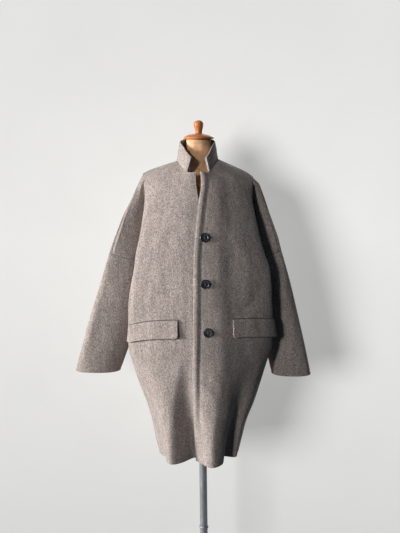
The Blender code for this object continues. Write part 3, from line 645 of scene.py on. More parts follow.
def edge_roll(reach):
    """Height of the rolled front edge and its stitched groove over the plain lap."""
    rise = EDGE_THICK / 2 - CLOTH + EDGE_THICK / 2 * edge_round(reach)
    groove = GROOVE_DEPTH * np.exp(-((reach - ROLL_GROOVE) / GROOVE_HALF) ** 2)
    return rise * edge_fade(reach) - groove


def edge_wall(reach):
    """Thickness of the upper front, by the distance from its edge."""
    plain = CLOTH + (EDGE_THICK - CLOTH) * edge_fade(reach)
    return np.where(reach < ROLL_ROUND, np.maximum(EDGE_THICK * edge_round(reach), EDGE_LEAST), plain)


def net(points, wrap=False):
    """Which points of a grid exist, and its cells as vertex numbers."""
    there = ~np.isnan(points[..., 0])
    numbers = np.full(there.shape, -1)
    numbers[there] = np.arange(there.sum())
    if wrap:
        numbers = np.concatenate([numbers, numbers[:, :1]], axis=1)
    corners = (numbers[:-1, :-1], numbers[1:, :-1], numbers[1:, 1:], numbers[:-1, 1:])
    cells = np.stack(corners, axis=-1).reshape(-1, 4)
    return there, cells[(cells >= 0).all(axis=1)]


def unit(vectors):
    """Vectors at length one."""
    return vectors / np.maximum(np.linalg.norm(vectors, axis=-1, keepdims=True), 1e-9)


def point_normals(spots, cells):
    """Normals of points, each the mean of the cells around it."""
    facing = unit(np.cross(spots[cells[:, 2]] - spots[cells[:, 0]],
                           spots[cells[:, 3]] - spots[cells[:, 1]]))
    normals = np.zeros_like(spots)
    for corner in range(4):
        np.add.at(normals, cells[:, corner], facing)
    return unit(normals)


def grid_normals(points, outward, wrap=False):
    """Outward normals of a grid, with gaps where it has no point."""
    there, cells = net(points, wrap)
    normals = np.full(points.shape, np.nan)
    normals[there] = point_normals(points[there], cells) * outward
    return normals


def crease_height(face, x, z):
    """Height of the listed creases at places on a face."""
    total = np.zeros_like(x)
    for crease_face, first, last, bow, half_width, height in CREASES:
        if crease_face != face:
            continue
        way = np.array(last, dtype=float) - first
        length = np.linalg.norm(way)
        way = way / length
        run = ((x - first[0]) * way[0] + (z - first[1]) * way[1]) / length
        aside = (x - first[0]) * way[1] - (z - first[1]) * way[0]
        aside = aside - bow * 4 * run * (1 - run)
        ends = np.clip(1 - (2 * run - 1) ** 2, 0, 1)
        total += height * ends * np.exp(-(aside / half_width) ** 2)
    return total


def drape(face, x, z):
    """How far hanging cloth stands out from its plain form: creases and broad unevenness."""
    total = crease_height(face, x, z)
    turn = BACK_PHASE if face == "back" else 0.0
    for across, down, phase, height in WAVES:
        sway = WAVE_SWAY * np.sin(z / SWAY_RUN)
        total += height * np.sin(2 * np.pi * x / across + phase + turn + sway)
        total += DOWN_SHARE * height * np.sin(2 * np.pi * z / down + 2 * phase + x / DOWN_RUN)
    settled = np.clip((DRAPE_TOP - z) / DRAPE_RUN, 0, 1)
    return total * (DRAPE_LEAST + (1 - DRAPE_LEAST) * settled)


def panel_points(face, places_at, most):
    """Grid of points of a face; places_at gives each row's places, shorter rows are filled up."""
    points = np.full((len(row_levels()), most, 3), np.nan)
    for row, (z, share) in enumerate(row_levels()):
        first, places = places_at(z, share)
        found = [surface_point(face, z, share, float(place)) for place in places]
        points[row, first:first + len(found)] = found
    return points


@functools.cache
def front_points(side):
    """Outer points of a front, by row from the shoulder and by column from its front edge."""
    chest = np.linspace(1, SIDE, CHEST_STEPS + 1)[1:]

    def places_at(z, share):
        start = edge_place(z, share, side)
        places = list(start + (side - start) * EDGE_PARTS) + list(side * chest)
        return 0, places + (list(side * ARM_PLACES) if z >= UNDERARM else [])

    points = panel_points("front", places_at, EDGE_STEPS + 1 + CHEST_STEPS + ARM_STEPS)
    normals = grid_normals(points, side)
    lift = drape("front", points[..., 0], points[..., 2]) * seam_fade(points, False)
    shown = EDGE_STEPS + 1 + CHEST_STEPS
    if side > 0:
        across = points[:, :shown, 0]
        lift[:, :shown] += lap_lift(across, row_shares()[:, None])
        lift[:, :shown] += edge_roll(across - points[:, :1, 0])
    else:
        lift += edge_trough(points[..., 0], points[..., 2])
    lift[:, shown:] += overarm_seam()[:, None] * overarm_profile()[None, :]
    return points + normals * lift[..., None]


def overarm_seam():
    """Share of the overarm seam's relief by row: none at the shoulder's top and the sleeve's seam."""
    heights = np.array([z for z, _ in row_levels()])
    below = np.clip((OVERARM_TOP - row_shares()) / OVERARM_TOP_RUN, 0, 1)
    return np.clip((heights - UNDERARM) / OVERARM_FOOT_RUN, 0, 1) * below


def overarm_profile():
    """Relief beside the overarm seam by column: a groove and a soft ridge inside it."""
    groove = np.exp(-((ARM_PLACES - OVERARM_GROOVE) / OVERARM_GROOVE_HALF) ** 2)
    ridge = np.exp(-((ARM_PLACES - OVERARM_RIDGE) / OVERARM_RIDGE_HALF) ** 2)
    return OVERARM_RIDGE_RISE * ridge - OVERARM_GROOVE_DEPTH * groove


def seam_fade(points, both_sides):
    """Share of the drape by row and column: none at the shoulder and sides, where seams hold."""
    there = ~np.isnan(points[..., 0])
    columns = np.arange(points.shape[1])[None, :]
    away = points.shape[1] - 1 - there[:, ::-1].argmax(axis=1)[:, None] - columns
    if both_sides:
        away = np.minimum(away, columns - there.argmax(axis=1)[:, None])
    rows = np.clip((1 - row_shares()) * SHOULDER_FADE, 0, 1)[:, None]
    return rows * np.clip(away / SIDE_FADE, 0, 1)


@functools.cache
def back_points():
    """Outer points of the back, by row from the shoulder and by column from left to right."""
    half = list(np.linspace(0, SIDE, BACK_STEPS + 1))
    arm = list(ARM_PLACES)

    def places_at(z, share):
        whole = half + (arm if z >= UNDERARM else [])
        first = 0 if z >= UNDERARM else ARM_STEPS
        return first, [-place for place in whole[:0:-1]] + whole

    most = 2 * (BACK_STEPS + ARM_STEPS) + 1
    points = panel_points("back", places_at, most)
    normals = grid_normals(points, -1)
    lift = drape("back", points[..., 0], points[..., 2]) * seam_fade(points, True)
    return points + normals * lift[..., None]


def seam_row():
    """Number of the row where the sleeves are sewn on."""
    return [z for z, share in row_levels() if share == 0].index(UNDERARM) + TOP_STEPS


def sleeve_section(side, fall, steps):
    """Flattened ring of a sleeve at steps from 0 to 1, from the underarm round the front."""
    name = side_name(side)
    outer = smooth("sleeve", name + "_outer", fall)
    inner = smooth("sleeve", name + "_inner", fall)
    depth = smooth("sleeve", "half_depth", fall)
    top_outer = ARM_ROWS[-1][ARM_NAMES.index("over_z")]
    outer_z = top_outer + (CUFF_OUTER_Z[side] - top_outer) * fall
    inner_z = UNDERARM + (CUFF_INNER_Z[side] - UNDERARM) * fall
    turn = np.pi * (1 - SLEEVE_TIP) * (1 - 2 * steps)
    power = 2 / SLEEVE_SQUARENESS
    across = squared(np.cos(turn), power)
    deep = squared(np.sin(turn), power)
    share = (1 + across) / 2
    y = (smooth("sleeve", "middle_y", fall) - depth * deep
         + smooth("sleeve", "tilt", fall) * (0.5 - share))
    return np.stack([side * (inner + (outer - inner) * share), y,
                     inner_z + (outer_z - inner_z) * share], axis=-1)


def sleeve_drape(side, fall, share, front):
    """How far a sleeve's cloth stands out: soft folds along it, and the cuff's stitched line."""
    total = np.zeros(np.broadcast(fall, share).shape)
    for begin, finish, first, last, half_width, front_height, back_height in SLEEVE_FOLDS[side]:
        run = (fall - first) / (last - first)
        ends = np.clip(1 - (2 * run - 1) ** 2, 0, 1)
        aside = (share - begin - (finish - begin) * run) / half_width
        total += np.where(front, front_height, back_height) * ends * np.exp(-aside * aside)
    total = total * np.clip(fall / FOLDS_BEGIN, 0, 1)
    return total - CUFF_GROOVE * np.exp(-((fall - CUFF_LINE) / CUFF_GROOVE_HALF) ** 2)


@functools.cache
def sleeve_points(side):
    """Outer points of a sleeve; its first row is the seam on front and back."""
    row = seam_row()
    front = front_points(side)[row]
    front = front[EDGE_STEPS + CHEST_STEPS:]
    back = back_points()[row]
    back = back[-ARM_STEPS - 1:] if side > 0 else back[ARM_STEPS::-1]
    seam = np.concatenate([front, back[-2::-1]])
    half = np.concatenate([[0.0], (ARM_PLACES - SIDE) / (2 * (OVER - SIDE))])
    steps = np.concatenate([half, 1 - half[-2::-1]])
    start = sleeve_section(side, 0.0, steps)
    rings = []
    for fall in SLEEVE_FALLS:
        keep = 1 - ease(min(fall / SEAM_FADE, 1.0))
        rings.append(sleeve_section(side, float(fall), steps) + (seam - start) * keep)
    points = np.array(rings)
    share = 1 - np.abs(2 * steps - 1)[None, :]
    lift = sleeve_drape(side, SLEEVE_FALLS[:, None], share, (steps < 0.5)[None, :])
    return points + grid_normals(points, side, wrap=True) * lift[..., None]


def ways_along(line):
    """How far round the neck each point of a line lies: 0 and 2 at its ends, 1 at its middle."""
    lengths = np.cumsum(np.linalg.norm(np.diff(line, axis=0, prepend=line[:1]), axis=1))
    return 2 * lengths / lengths[-1]


@functools.cache
def collar_points():
    """Outer points of the turned-up collar, from its top edge down to the neckline."""
    front_steps = round(CHEST_STEPS * (MID - INNER) / (SIDE - INNER))
    left = front_points(-1)[0][EDGE_STEPS:EDGE_STEPS + front_steps + 1]
    right = front_points(1)[0][EDGE_STEPS:EDGE_STEPS + front_steps + 1]
    middle = ARM_STEPS + BACK_STEPS
    reach = round(BACK_STEPS * MID / SIDE)
    back = back_points()[0][middle - reach:middle + reach + 1]
    neckline = np.concatenate([left, back[1:-1], right[::-1]])
    ways = ways_along(neckline)
    high = []
    for way in ways:
        station = float(way if way <= 1 else 2 - way)
        names = ("left_x" if way <= 1 else "right_x", "y", "z")
        high.append([smooth("collar", name, station) for name in names])
    shares = np.linspace(1, 0, COLLAR_STEPS + 1)[:, None, None]
    points = neckline[None] + (np.array(high)[None] - neckline[None]) * shares
    points = points + np.array((0.0, 0.0, COLLAR_GAP))
    from_end = np.minimum(ways, 2 - ways)[None, :]
    rise = shares[..., 0]
    roll = COLLAR_ROLL * np.sin(np.pi * rise) * np.clip(from_end / COLLAR_ROLL_FROM, 0, 1)
    flare = COLLAR_FLARE * rise ** 2 * np.exp(-(from_end / COLLAR_FLARE_END) ** 2)
    foot = COLLAR_FOOT * np.clip(1 - rise / COLLAR_FOOT_RISE, 0, 1) ** 2
    foot = foot * np.clip(from_end / COLLAR_ROLL_FROM, 0, 1)
    normals = grid_normals(points, -1)
    points = points + normals * (roll + flare + foot)[..., None]
    reach = COLLAR_REACH * rise * np.exp(-(from_end / COLLAR_END) ** 2)
    points[..., 0] -= np.sign(points[..., 0]) * reach
    tucked = points[-1] - normals[-1] * COLLAR_TUCK_IN - np.array((0.0, 0.0, COLLAR_TUCK))
    return np.concatenate([points, tucked[None]])


def collar_walls(points):
    """Wall of the collar: as thin as the body at its seam, double above it, fuller at its ends."""
    ways = ways_along(points[-1])
    ends = np.exp(-(np.minimum(ways, 2 - ways) / COLLAR_END) ** 2)
    walls = np.broadcast_to(COLLAR_THICK + COLLAR_LIP * ends, points.shape[:2]).copy()
    walls[-2:] = CLOTH
    return walls


def cloth_shell(points, outward, walls, wrap=False):
    """Vertices and faces of a wall of cloth with rounded edges, from its outer points."""
    there, cells = net(points, wrap)
    if outward < 0:
        cells = cells[:, ::-1]
    spots = points[there]
    count = len(spots)
    wall = np.broadcast_to(walls, there.shape)[there][:, None]
    normals = point_normals(spots, cells)
    edges = np.concatenate([cells[:, [corner, (corner + 1) % 4]] for corner in range(4)])
    codes = edges[:, 0] * count + edges[:, 1]
    rim = edges[~np.isin(codes, edges[:, 1] * count + edges[:, 0])]
    on_rim = np.unique(rim)
    inward = np.zeros_like(spots)
    for corner in range(4):
        across = spots[cells[:, (corner + 2) % 4]] - spots[cells[:, corner]]
        np.add.at(inward, cells[:, corner], across)
    inward -= normals * np.sum(inward * normals, axis=1, keepdims=True)
    inset = np.zeros((count, 1))
    inset[on_rim] = EDGE_ROUND * wall[on_rim]
    outer = spots + unit(inward) * inset
    middle = spots[on_rim] - normals[on_rim] * wall[on_rim] / 2 + unit(inward)[on_rim] * SEAM_GAP / 2
    numbers = np.full(count, -1)
    numbers[on_rim] = 2 * count + np.arange(len(on_rim))
    first, second = rim[:, 0], rim[:, 1]
    faces = np.concatenate([
        cells,
        cells[:, ::-1] + count,
        np.stack([second, first, numbers[first], numbers[second]], axis=1),
        np.stack([numbers[second], numbers[first], first + count, second + count], axis=1),
    ])
    return np.concatenate([outer, outer - normals * wall, middle]) * MM, faces


def new_piece(name, verts, faces, material):
    """Smooth mesh object with one material."""
    data = bpy.data.meshes.new(name)
    data.from_pydata([tuple(vert) for vert in verts], [], [tuple(face) for face in faces])
    data.validate()
    data.shade_smooth()
    data.materials.append(material)
    piece = bpy.data.objects.new(name, data)
    bpy.context.scene.collection.objects.link(piece)
    return piece


def dress(piece, slot, *nodes):
    """Lets a piece ride on the part and stand for its solids."""
    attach(piece, "root")
    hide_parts(*nodes)
    return piece


def tube_mesh(paths, radius, sides=6):
    """Vertices and faces of round threads along paths of points, closed at their ends."""
    verts = []
    faces = []
    turn = 2 * np.pi * np.arange(sides) / sides
    for path in paths:
        path = np.array(path, dtype=float)
        ways = unit(np.gradient(path, axis=0))
        aside = unit(np.cross(ways, unit(np.array(THREAD_ACROSS))))
        above = np.cross(ways, aside)
        rings = path[:, None] + radius * (aside[:, None] * np.cos(turn)[None, :, None]
                                          + above[:, None] * np.sin(turn)[None, :, None])
        start = len(verts)
        verts += list(rings.reshape(-1, 3))
        for ring in range(len(path) - 1):
            low = start + ring * sides
            for step in range(sides):
                after = (step + 1) % sides
                faces.append((low + step, low + after, low + sides + after, low + sides + step))
        last = start + (len(path) - 1) * sides
        faces.append(tuple(start + step for step in reversed(range(sides))))
        faces.append(tuple(last + step for step in range(sides)))
    return np.array(verts), faces


def sew(name, paths, radius, look):
    """Joined threads along paths in millimetres, as one piece that rides on the part."""
    verts, faces = tube_mesh(paths, radius)
    piece = new_piece(name, verts * MM, faces, finish_named("dark_thread_and_seam_shade", thread_material, look))
    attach(piece, "root")
    return piece


def stitches(path, length, gap):
    """A path of points, cut into stitches of a length with gaps between them."""
    path = np.array(path)
    way = np.concatenate([[0.0], np.cumsum(np.linalg.norm(np.diff(path, axis=0), axis=1))])
    cuts = []
    for start in np.arange(0.0, way[-1] - length, length + gap):
        places = np.linspace(start, start + length, STITCH_POINTS)
        cuts.append(np.stack([np.interp(places, way, path[:, axis]) for axis in range(3)], axis=-1))
    return cuts


def front_patch(side, z, place):
    """Point on a front's outer side, with its drape and lap, and the outward normal there."""
    point = folded_point("front", z, place)
    aside = folded_point("front", z, place + PATCH_ASIDE) - point
    above = folded_point("front", z + PATCH_RISE, place) - point
    normal = unit(np.cross(aside, above))
    lift = float(drape("front", point[:1], point[2:])[0])
    if side > 0:
        lift += float(lap_lift(point[0], 0.0))
    return point + normal * lift, normal


def flap_wall(down):
    """Thickness of a flap, thinner at its seam and full below it."""
    return FLAP_THICK * np.minimum(FLAP_SEAM_WALL + (1 - FLAP_SEAM_WALL) * down / FLAP_FULL_AT, 1.0)


def flap_points(side):
    """Outer points of a pocket flap: its front's points moved out, more at the free lower edge."""
    start, end = FLAP_ENDS[side]
    width = np.linalg.norm(front_patch(side, FLAP_TOP_Z, side * end)[0]
                           - front_patch(side, FLAP_TOP_Z, side * start)[0])
    points = np.zeros((len(FLAP_DOWN), len(FLAP_ACROSS), 3))
    for row, down in enumerate(FLAP_DOWN):
        for number, share in enumerate(FLAP_ACROSS):
            inside = min(share, 1 - share) * width
            short = max(FLAP_CORNER - inside, 0.0)
            corner = (FLAP_CORNER - math.sqrt(FLAP_CORNER ** 2 - short ** 2)) * max(2 * down - 1, 0)
            z = FLAP_TOP_Z - FLAP_DROP[side] * share ** 2 - FLAP_HEIGHT * down + corner
            point, normal = front_patch(side, float(z), side * (start + (end - start) * share))
            lift = FLAP_SEAT + FLAP_STAND * down ** FLAP_CURVE + flap_wall(down)
            points[row, number] = point + normal * lift
    return points


def closed_rings(rings, top, foot):
    """Vertices and faces of a closed stack of rings, from the top down, with a point at each end."""
    steps = len(rings[0])
    verts = np.concatenate([[top], *rings, [foot]])
    last = len(verts) - 1
    low_ring = last - steps
    faces = []
    for step in range(steps):
        after = (step + 1) % steps
        faces.append((0, 1 + step, 1 + after))
        for low in range(1, low_ring, steps):
            faces.append((low + step, low + steps + step, low + steps + after, low + after))
        faces.append((low_ring + after, low_ring + step, last))
    return verts, faces


def turned_mesh(profile, steps):
    """Vertices and faces of a turned shape; the profile runs from the axis down to the axis."""
    turn = 2 * np.pi * np.arange(steps) / steps
    rings = [np.stack([radius * np.cos(turn), radius * np.sin(turn), np.full(steps, z)], axis=-1)
             for radius, z in profile[1:-1]]
    return closed_rings(rings, (0.0, 0.0, profile[0][1]), (0.0, 0.0, profile[-1][1]))


def rounded(profile, parts=4):
    """A turned profile with a smooth curve through its points."""
    points = [np.array(point, dtype=float) for point in profile]
    fine = [along(points, place / parts) for place in range((len(points) - 1) * parts + 1)]
    return [(max(point[0], 0.0), point[1]) for point in fine]


# Materials

# Sockets of a mix node that are used when it mixes colours
COLOUR_MIX_INPUTS = (0, 6, 7)
COLOUR_MIX_OUTPUT = 2


class Nodes:
    """Short way to add and join the nodes of one material."""

    def __init__(self, name):
        self.material = bpy.data.materials.new(name)
        self.material.use_nodes = True
        self.tree = self.material.node_tree
        self.shader = self.tree.nodes["Principled BSDF"]

    def feed(self, socket, value):
        """Links an output to an input, or sets the input's value."""
        if hasattr(value, "is_output"):
            self.tree.links.new(value, socket)
        else:
            socket.default_value = value

    def add(self, kind, values=None, **settings):
        """New node with values on its inputs and settings as attributes."""
        node = self.tree.nodes.new("ShaderNode" + kind)
        for name, value in settings.items():
            setattr(node, name, value)
        for name, value in (values or {}).items():
            self.feed(node.inputs[name], value)
        return node

    def set(self, **values):
        """Values or links on the shader's inputs, by name with _ for a space."""
        for name, value in values.items():
            self.feed(self.shader.inputs[name.replace("_", " ")], value)

    def noise(self, coordinates, scale, detail, roughness=0.6):
        """Factor of a noise texture."""
        node = self.add("TexNoise", {"Vector": coordinates, "Scale": scale, "Detail": detail,
                                     "Roughness": roughness})
        return node.outputs["Fac"]

    def ramp(self, factor, *stops):
        """Colour ramp from stops of place and colour."""
        node = self.add("ValToRGB", {"Fac": factor})
        elements = node.color_ramp.elements
        while len(elements) < len(stops):
            elements.new(0.5)
        for element, (place, colour) in zip(elements, stops):
            element.position = place
            element.color = (*colour, 1.0)
        return node.outputs["Color"]

    def mix(self, factor, first, second, blend="MIX"):
        """Mix of two colours."""
        node = self.add("Mix", data_type="RGBA", blend_type=blend)
        for number, value in zip(COLOUR_MIX_INPUTS, (factor, first, second)):
            self.feed(node.inputs[number], value)
        return node.outputs[COLOUR_MIX_OUTPUT]

    def multiply(self, first, second):
        """Product of two colours."""
        return self.mix(1.0, first, second, "MULTIPLY")

    def bands(self, scale, distortion, detail, direction):
        """Factor of wavy bands."""
        node = self.add("TexWave", {"Vector": self.place(), "Scale": scale, "Distortion": distortion,
                                    "Detail": detail}, bands_direction=direction)
        return node.outputs["Fac"]

    def place(self, scale=(1, 1, 1), rotation=(0, 0, 0)):
        """Object coordinates, stretched and turned."""
        coordinates = self.add("TexCoord").outputs["Object"]
        node = self.add("Mapping", {"Vector": coordinates, "Scale": scale, "Rotation": rotation})
        return node.outputs["Vector"]

    def bump(self, height, distance, strength):
        """Bump normal from a height."""
        node = self.add("Bump", {"Height": height, "Distance": distance, "Strength": strength})
        return node.outputs["Normal"]


def shade(colour, share):
    """A colour made lighter or darker."""
    return tuple(min(channel * share, 1.0) for channel in colour)


def grey(level):
    """A grey of a level, which may be over 1."""
    return (level, level, level)


def wool_material(look):
    """Thick felted wool: fine melange of dark and light fibres with pale flecks and a soft nap."""
    nodes = Nodes("felted_wool")
    streaks = nodes.place(scale=(1.0, 1.0, 0.45), rotation=(0.0, 0.3, 0.0))
    fibres = nodes.noise(streaks, scale=480.0, detail=5.0, roughness=0.75)
    colour = nodes.ramp(fibres, (0.36, shade(look.wool, 0.38)), (0.50, look.wool),
                        (0.64, shade(look.wool, 1.9)))
    turned = nodes.place(scale=(1.0, 1.0, 0.6), rotation=(0.2, -0.5, 0.3))
    flecks = nodes.noise(turned, scale=300.0, detail=3.0)
    fleck_share = nodes.ramp(flecks, (0.56, grey(0.0)), (0.74, grey(0.6)))
    colour = nodes.mix(fleck_share, colour, (*look.fleck, 1.0))
    brushed = nodes.noise(nodes.place(scale=(1.0, 1.0, 0.16)), scale=75.0, detail=4.0, roughness=0.65)
    stroke = nodes.ramp(brushed, (0.3, grey(0.78)), (0.7, (1.2, 1.19, 1.18)))
    colour = nodes.multiply(colour, stroke)
    felt = nodes.noise(streaks, scale=420.0, detail=6.0, roughness=0.7)
    nap = nodes.bump(felt, distance=0.002, strength=look.nap)
    nodes.set(Base_Color=colour, Roughness=0.95, Normal=nap, Sheen_Weight=0.12, Sheen_Roughness=0.5)
    return nodes.material


def thread_material(look):
    """Dull dark sewing thread; on the flaps' top seams its darkness also stands in as painted shade."""
    nodes = Nodes("dark_thread_and_seam_shade")
    twist = nodes.noise(nodes.place(scale=(1, 1, 0.3)), scale=1500.0, detail=2.0)
    colour = nodes.ramp(twist, (0.3, shade(look.wool, 0.25)), (0.7, shade(look.wool, 0.5)))
    nodes.set(Base_Color=colour, Roughness=0.8)
    return nodes.material


def button_material(look):
    """Dark blue-black polished horn-like plastic with faint clouding."""
    nodes = Nodes("polished_horn")
    clouds = nodes.noise(nodes.place(), scale=160.0, detail=3.0)
    colour = nodes.ramp(clouds, (0.3, look.button), (0.75, shade(look.button, 2.2)))
    rubbed = nodes.noise(nodes.place(), scale=500.0, detail=2.0)
    polish = nodes.ramp(rubbed, (0.3, grey(0.22)), (0.7, grey(0.34)))
    nodes.set(Base_Color=colour, Roughness=polish, Coat_Weight=0.3)
    return nodes.material


def linen_material(look):
    """Plain woven natural linen, a little aged."""
    nodes = Nodes("woven_linen")
    across, upright = (nodes.bands(scale=520.0, distortion=1.2, detail=2.0, direction=direction)
                       for direction in "ZX")
    weave = nodes.mix(0.5, across, upright)
    age = nodes.noise(nodes.place(), scale=38.0, detail=5.0, roughness=0.65)
    colour = nodes.ramp(age, (0.32, shade(look.linen, 0.62)), (0.52, look.linen),
                        (0.72, shade(look.linen, 1.25)))
    threads = nodes.ramp(weave, (0.2, grey(0.88)), (0.8, grey(1.1)))
    colour = nodes.multiply(colour, threads)
    nodes.set(Base_Color=colour, Roughness=0.9, Sheen_Weight=0.1,
              Normal=nodes.bump(weave, distance=0.0006, strength=0.5))
    return nodes.material


def wood_material(look):
    """Turned and waxed wood with grain along the axis and darker bands."""
    nodes = Nodes("waxed_wood")
    grain = nodes.noise(nodes.place(scale=(1.0, 1.0, 0.12)), scale=260.0, detail=6.0, roughness=0.65)
    rings = nodes.bands(scale=45.0, distortion=6.0, detail=3.0, direction="X")
    colour = nodes.ramp(grain, (0.3, shade(look.wood, 0.55)), (0.52, look.wood),
                        (0.74, shade(look.wood, 1.5)))
    tone = nodes.ramp(rings, (0.1, (0.84, 0.80, 0.76)), (0.8, grey(1.05)))
    colour = nodes.multiply(colour, tone)
    nodes.set(Base_Color=colour, Roughness=0.46, Specular_IOR_Level=0.35, Coat_Weight=0.08,
              Coat_Roughness=0.3, Normal=nodes.bump(grain, distance=0.0004, strength=0.25))
    return nodes.material


def steel_material(look):
    """Grey painted steel with a little wear."""
    nodes = Nodes("satin_steel")
    wear = nodes.noise(nodes.place(scale=(1, 1, 0.2)), scale=120.0, detail=6.0, roughness=0.7)
    colour = nodes.ramp(wear, (0.3, shade(look.steel, 0.75)), (0.55, look.steel),
                        (0.75, shade(look.steel, 1.5)))
    gloss = nodes.ramp(wear, (0.3, grey(0.34)), (0.7, grey(0.5)))
    nodes.set(Base_Color=colour, Roughness=gloss, Metallic=0.55)
    return nodes.material


def plaster_material(name, paint, glow):
    """Matt pale plaster with a glow of its own, seen only from the side that its face turns to; painted
    shade darkens its colour and glow below and above its middle.
    """
    nodes = Nodes(name + "_plaster")
    patches = nodes.noise(nodes.place(), scale=2.2, detail=5.0)
    colour = nodes.ramp(patches, (0.3, shade(paint, 0.96)), (0.7, paint))
    height = nodes.place(scale=(1, 1, 1 / WALL_SHADED))
    rise = nodes.add("SeparateXYZ", {"Vector": height}).outputs["Z"]
    # Painted shade: the wall's colour and glow are darker towards its foot and its top, as if lit most
    # at its middle
    painted_wall_shade = nodes.ramp(rise, (0.0, grey(0.84)), (0.50, grey(1.0)), (1.0, grey(0.90)))
    colour = nodes.multiply(colour, painted_wall_shade)
    nodes.set(Base_Color=colour, Roughness=0.95, Emission_Color=colour, Emission_Strength=glow)
    behind = nodes.add("NewGeometry").outputs["Backfacing"]
    clear = nodes.add("BsdfTransparent").outputs["BSDF"]
    choice = nodes.add("MixShader", {"Fac": behind})
    nodes.tree.links.new(nodes.shader.outputs["BSDF"], choice.inputs[1])
    nodes.tree.links.new(clear, choice.inputs[2])
    nodes.tree.links.new(choice.outputs["Shader"],
                         nodes.tree.nodes["Material Output"].inputs["Surface"])
    return nodes.material


def finish_named(name, maker, look):
    """The material of that name, made on first use."""
    return bpy.data.materials.get(name) or maker(look)


# What a user would change


class CoatLook(bpy.types.PropertyGroup):
    """Colours of the coat and its form."""

    wool: bpy.props.FloatVectorProperty(
        name="Wool", description="Main colour of the felted wool", subtype="COLOR",
        default=(0.285, 0.245, 0.228), min=0, max=1)
    fleck: bpy.props.FloatVectorProperty(
        name="Flecks", description="Colour of the pale flecks in the wool", subtype="COLOR",
        default=(0.60, 0.53, 0.50), min=0, max=1)
    nap: bpy.props.FloatProperty(
        name="Nap", description="Strength of the wool's raised surface", subtype="FACTOR",
        default=0.4, min=0, max=1)
    button: bpy.props.FloatVectorProperty(
        name="Buttons", description="Colour of the buttons", subtype="COLOR",
        default=(0.010, 0.013, 0.019), min=0, max=1)


class StandLook(bpy.types.PropertyGroup):
    """Colours of the dress form and its stand."""

    linen: bpy.props.FloatVectorProperty(
        name="Linen", description="Colour of the form's cover", subtype="COLOR",
        default=(0.84, 0.49, 0.27), min=0, max=1)
    wood: bpy.props.FloatVectorProperty(
        name="Wood", description="Colour of the turned cap and knob", subtype="COLOR",
        default=(0.52, 0.185, 0.06), min=0, max=1)
    steel: bpy.props.FloatVectorProperty(
        name="Steel", description="Colour of the pole and base", subtype="COLOR",
        default=(0.20, 0.215, 0.235), min=0, max=1)


class StageLook(bpy.types.PropertyGroup):
    """Stage, lights and camera."""

    wall: bpy.props.FloatVectorProperty(
        name="Wall", description="Colour of the wall", subtype="COLOR",
        default=(0.50, 0.505, 0.50), min=0, max=1)
    floor: bpy.props.FloatVectorProperty(
        name="Floor", description="Colour of the floor", subtype="COLOR",
        default=(0.62, 0.62, 0.61), min=0, max=1)
    glow: bpy.props.FloatProperty(
        name="Wall glow", description="Strength of the wall's own light", default=0.86, min=0)
    key: bpy.props.FloatProperty(
        name="Key light", description="Strength of the soft light from the left", default=5.6, min=0)
    fill: bpy.props.FloatProperty(
        name="Fill light", description="Strength of the pale sky light beside the camera",
        default=1.2, min=0)
    fill_aside: bpy.props.FloatProperty(
        name="Fill aside", description="Turn of the sky light to the left of the camera",
        subtype="ANGLE", default=math.radians(30))
    softness: bpy.props.FloatProperty(
        name="Softness", description="How wide the key light is in the sky", subtype="ANGLE",
        default=math.radians(24))
    aside: bpy.props.FloatProperty(
        name="Key aside", description="Turn of the key light to the left of the camera",
        subtype="ANGLE", default=math.radians(76))
    wash: bpy.props.FloatProperty(
        name="Wall light", description="Strength of the light on the wall", default=3.3, min=0)
    wash_aside: bpy.props.FloatProperty(
        name="Wall light aside", description="Turn of the wall's light to the left of the camera",
        subtype="ANGLE", default=math.radians(40))
    above: bpy.props.FloatProperty(
        name="Key above", description="Rise of the key light over level", subtype="ANGLE",
        default=math.radians(8))
    room: bpy.props.FloatProperty(
        name="Room light", description="Strength of the soft light from the camera's side",
        default=0.17, min=0)
    behind: bpy.props.FloatProperty(
        name="Back light", description="Strength of the light on the coat's back", default=2.2, min=0)
    distance: bpy.props.FloatProperty(
        name="Camera distance", description="From the pole's axis to the camera", unit="LENGTH",
        default=2.43, min=0.5)
    height: bpy.props.FloatProperty(
        name="Camera height", description="Above the floor", unit="LENGTH", default=1.43, min=0)
    pitch: bpy.props.FloatProperty(
        name="Camera pitch", description="Tilt down from level", subtype="ANGLE",
        default=math.radians(8.0))
    roll: bpy.props.FloatProperty(
        name="Camera roll", description="Turn about the line of sight", subtype="ANGLE",
        default=math.radians(-0.76))


def sew_cloth(name, points, outward, walls, look, wrap=False):
    """One cut piece of the coat as a cloth shell."""
    verts, faces = cloth_shell(points, outward, walls, wrap)
    piece = new_piece(name + "_cloth", verts, faces, finish_named("felted_wool", wool_material, look))
    dress(piece, "wool", name)
    return piece


class COAT_OT_body(bpy.types.Operator):
    """Fronts and back of the coat, cut in one with the upper arms"""

    bl_idname = "coat.body"
    bl_label = "Coat body"

    def execute(self, context):
        look = context.scene.coat_look
        for side, name in ((-1, "front_right"), (1, "front_left")):
            points = front_points(side)
            walls = edge_wall(points[..., 0] - points[:, :1, 0]) if side > 0 else CLOTH
            sew_cloth(name, points, side, walls, look)
        sew_cloth("back", back_points(), -1, CLOTH, look)
        return {"FINISHED"}


class COAT_OT_sleeves(bpy.types.Operator):
    """Sleeves, sewn on low on the arm"""

    bl_idname = "coat.sleeves"
    bl_label = "Sleeves"

    def execute(self, context):
        look = context.scene.coat_look
        for side, name in ((-1, "sleeve_right"), (1, "sleeve_left")):
            sew_cloth(name, sleeve_points(side), side, CLOTH, look, wrap=True)
        return {"FINISHED"}


class COAT_OT_collar(bpy.types.Operator):
    """Collar, turned up round the neck"""

    bl_idname = "coat.collar"
    bl_label = "Collar"

    def execute(self, context):
        points = collar_points()
        sew_cloth("collar", points, -1, collar_walls(points), context.scene.coat_look)
        return {"FINISHED"}


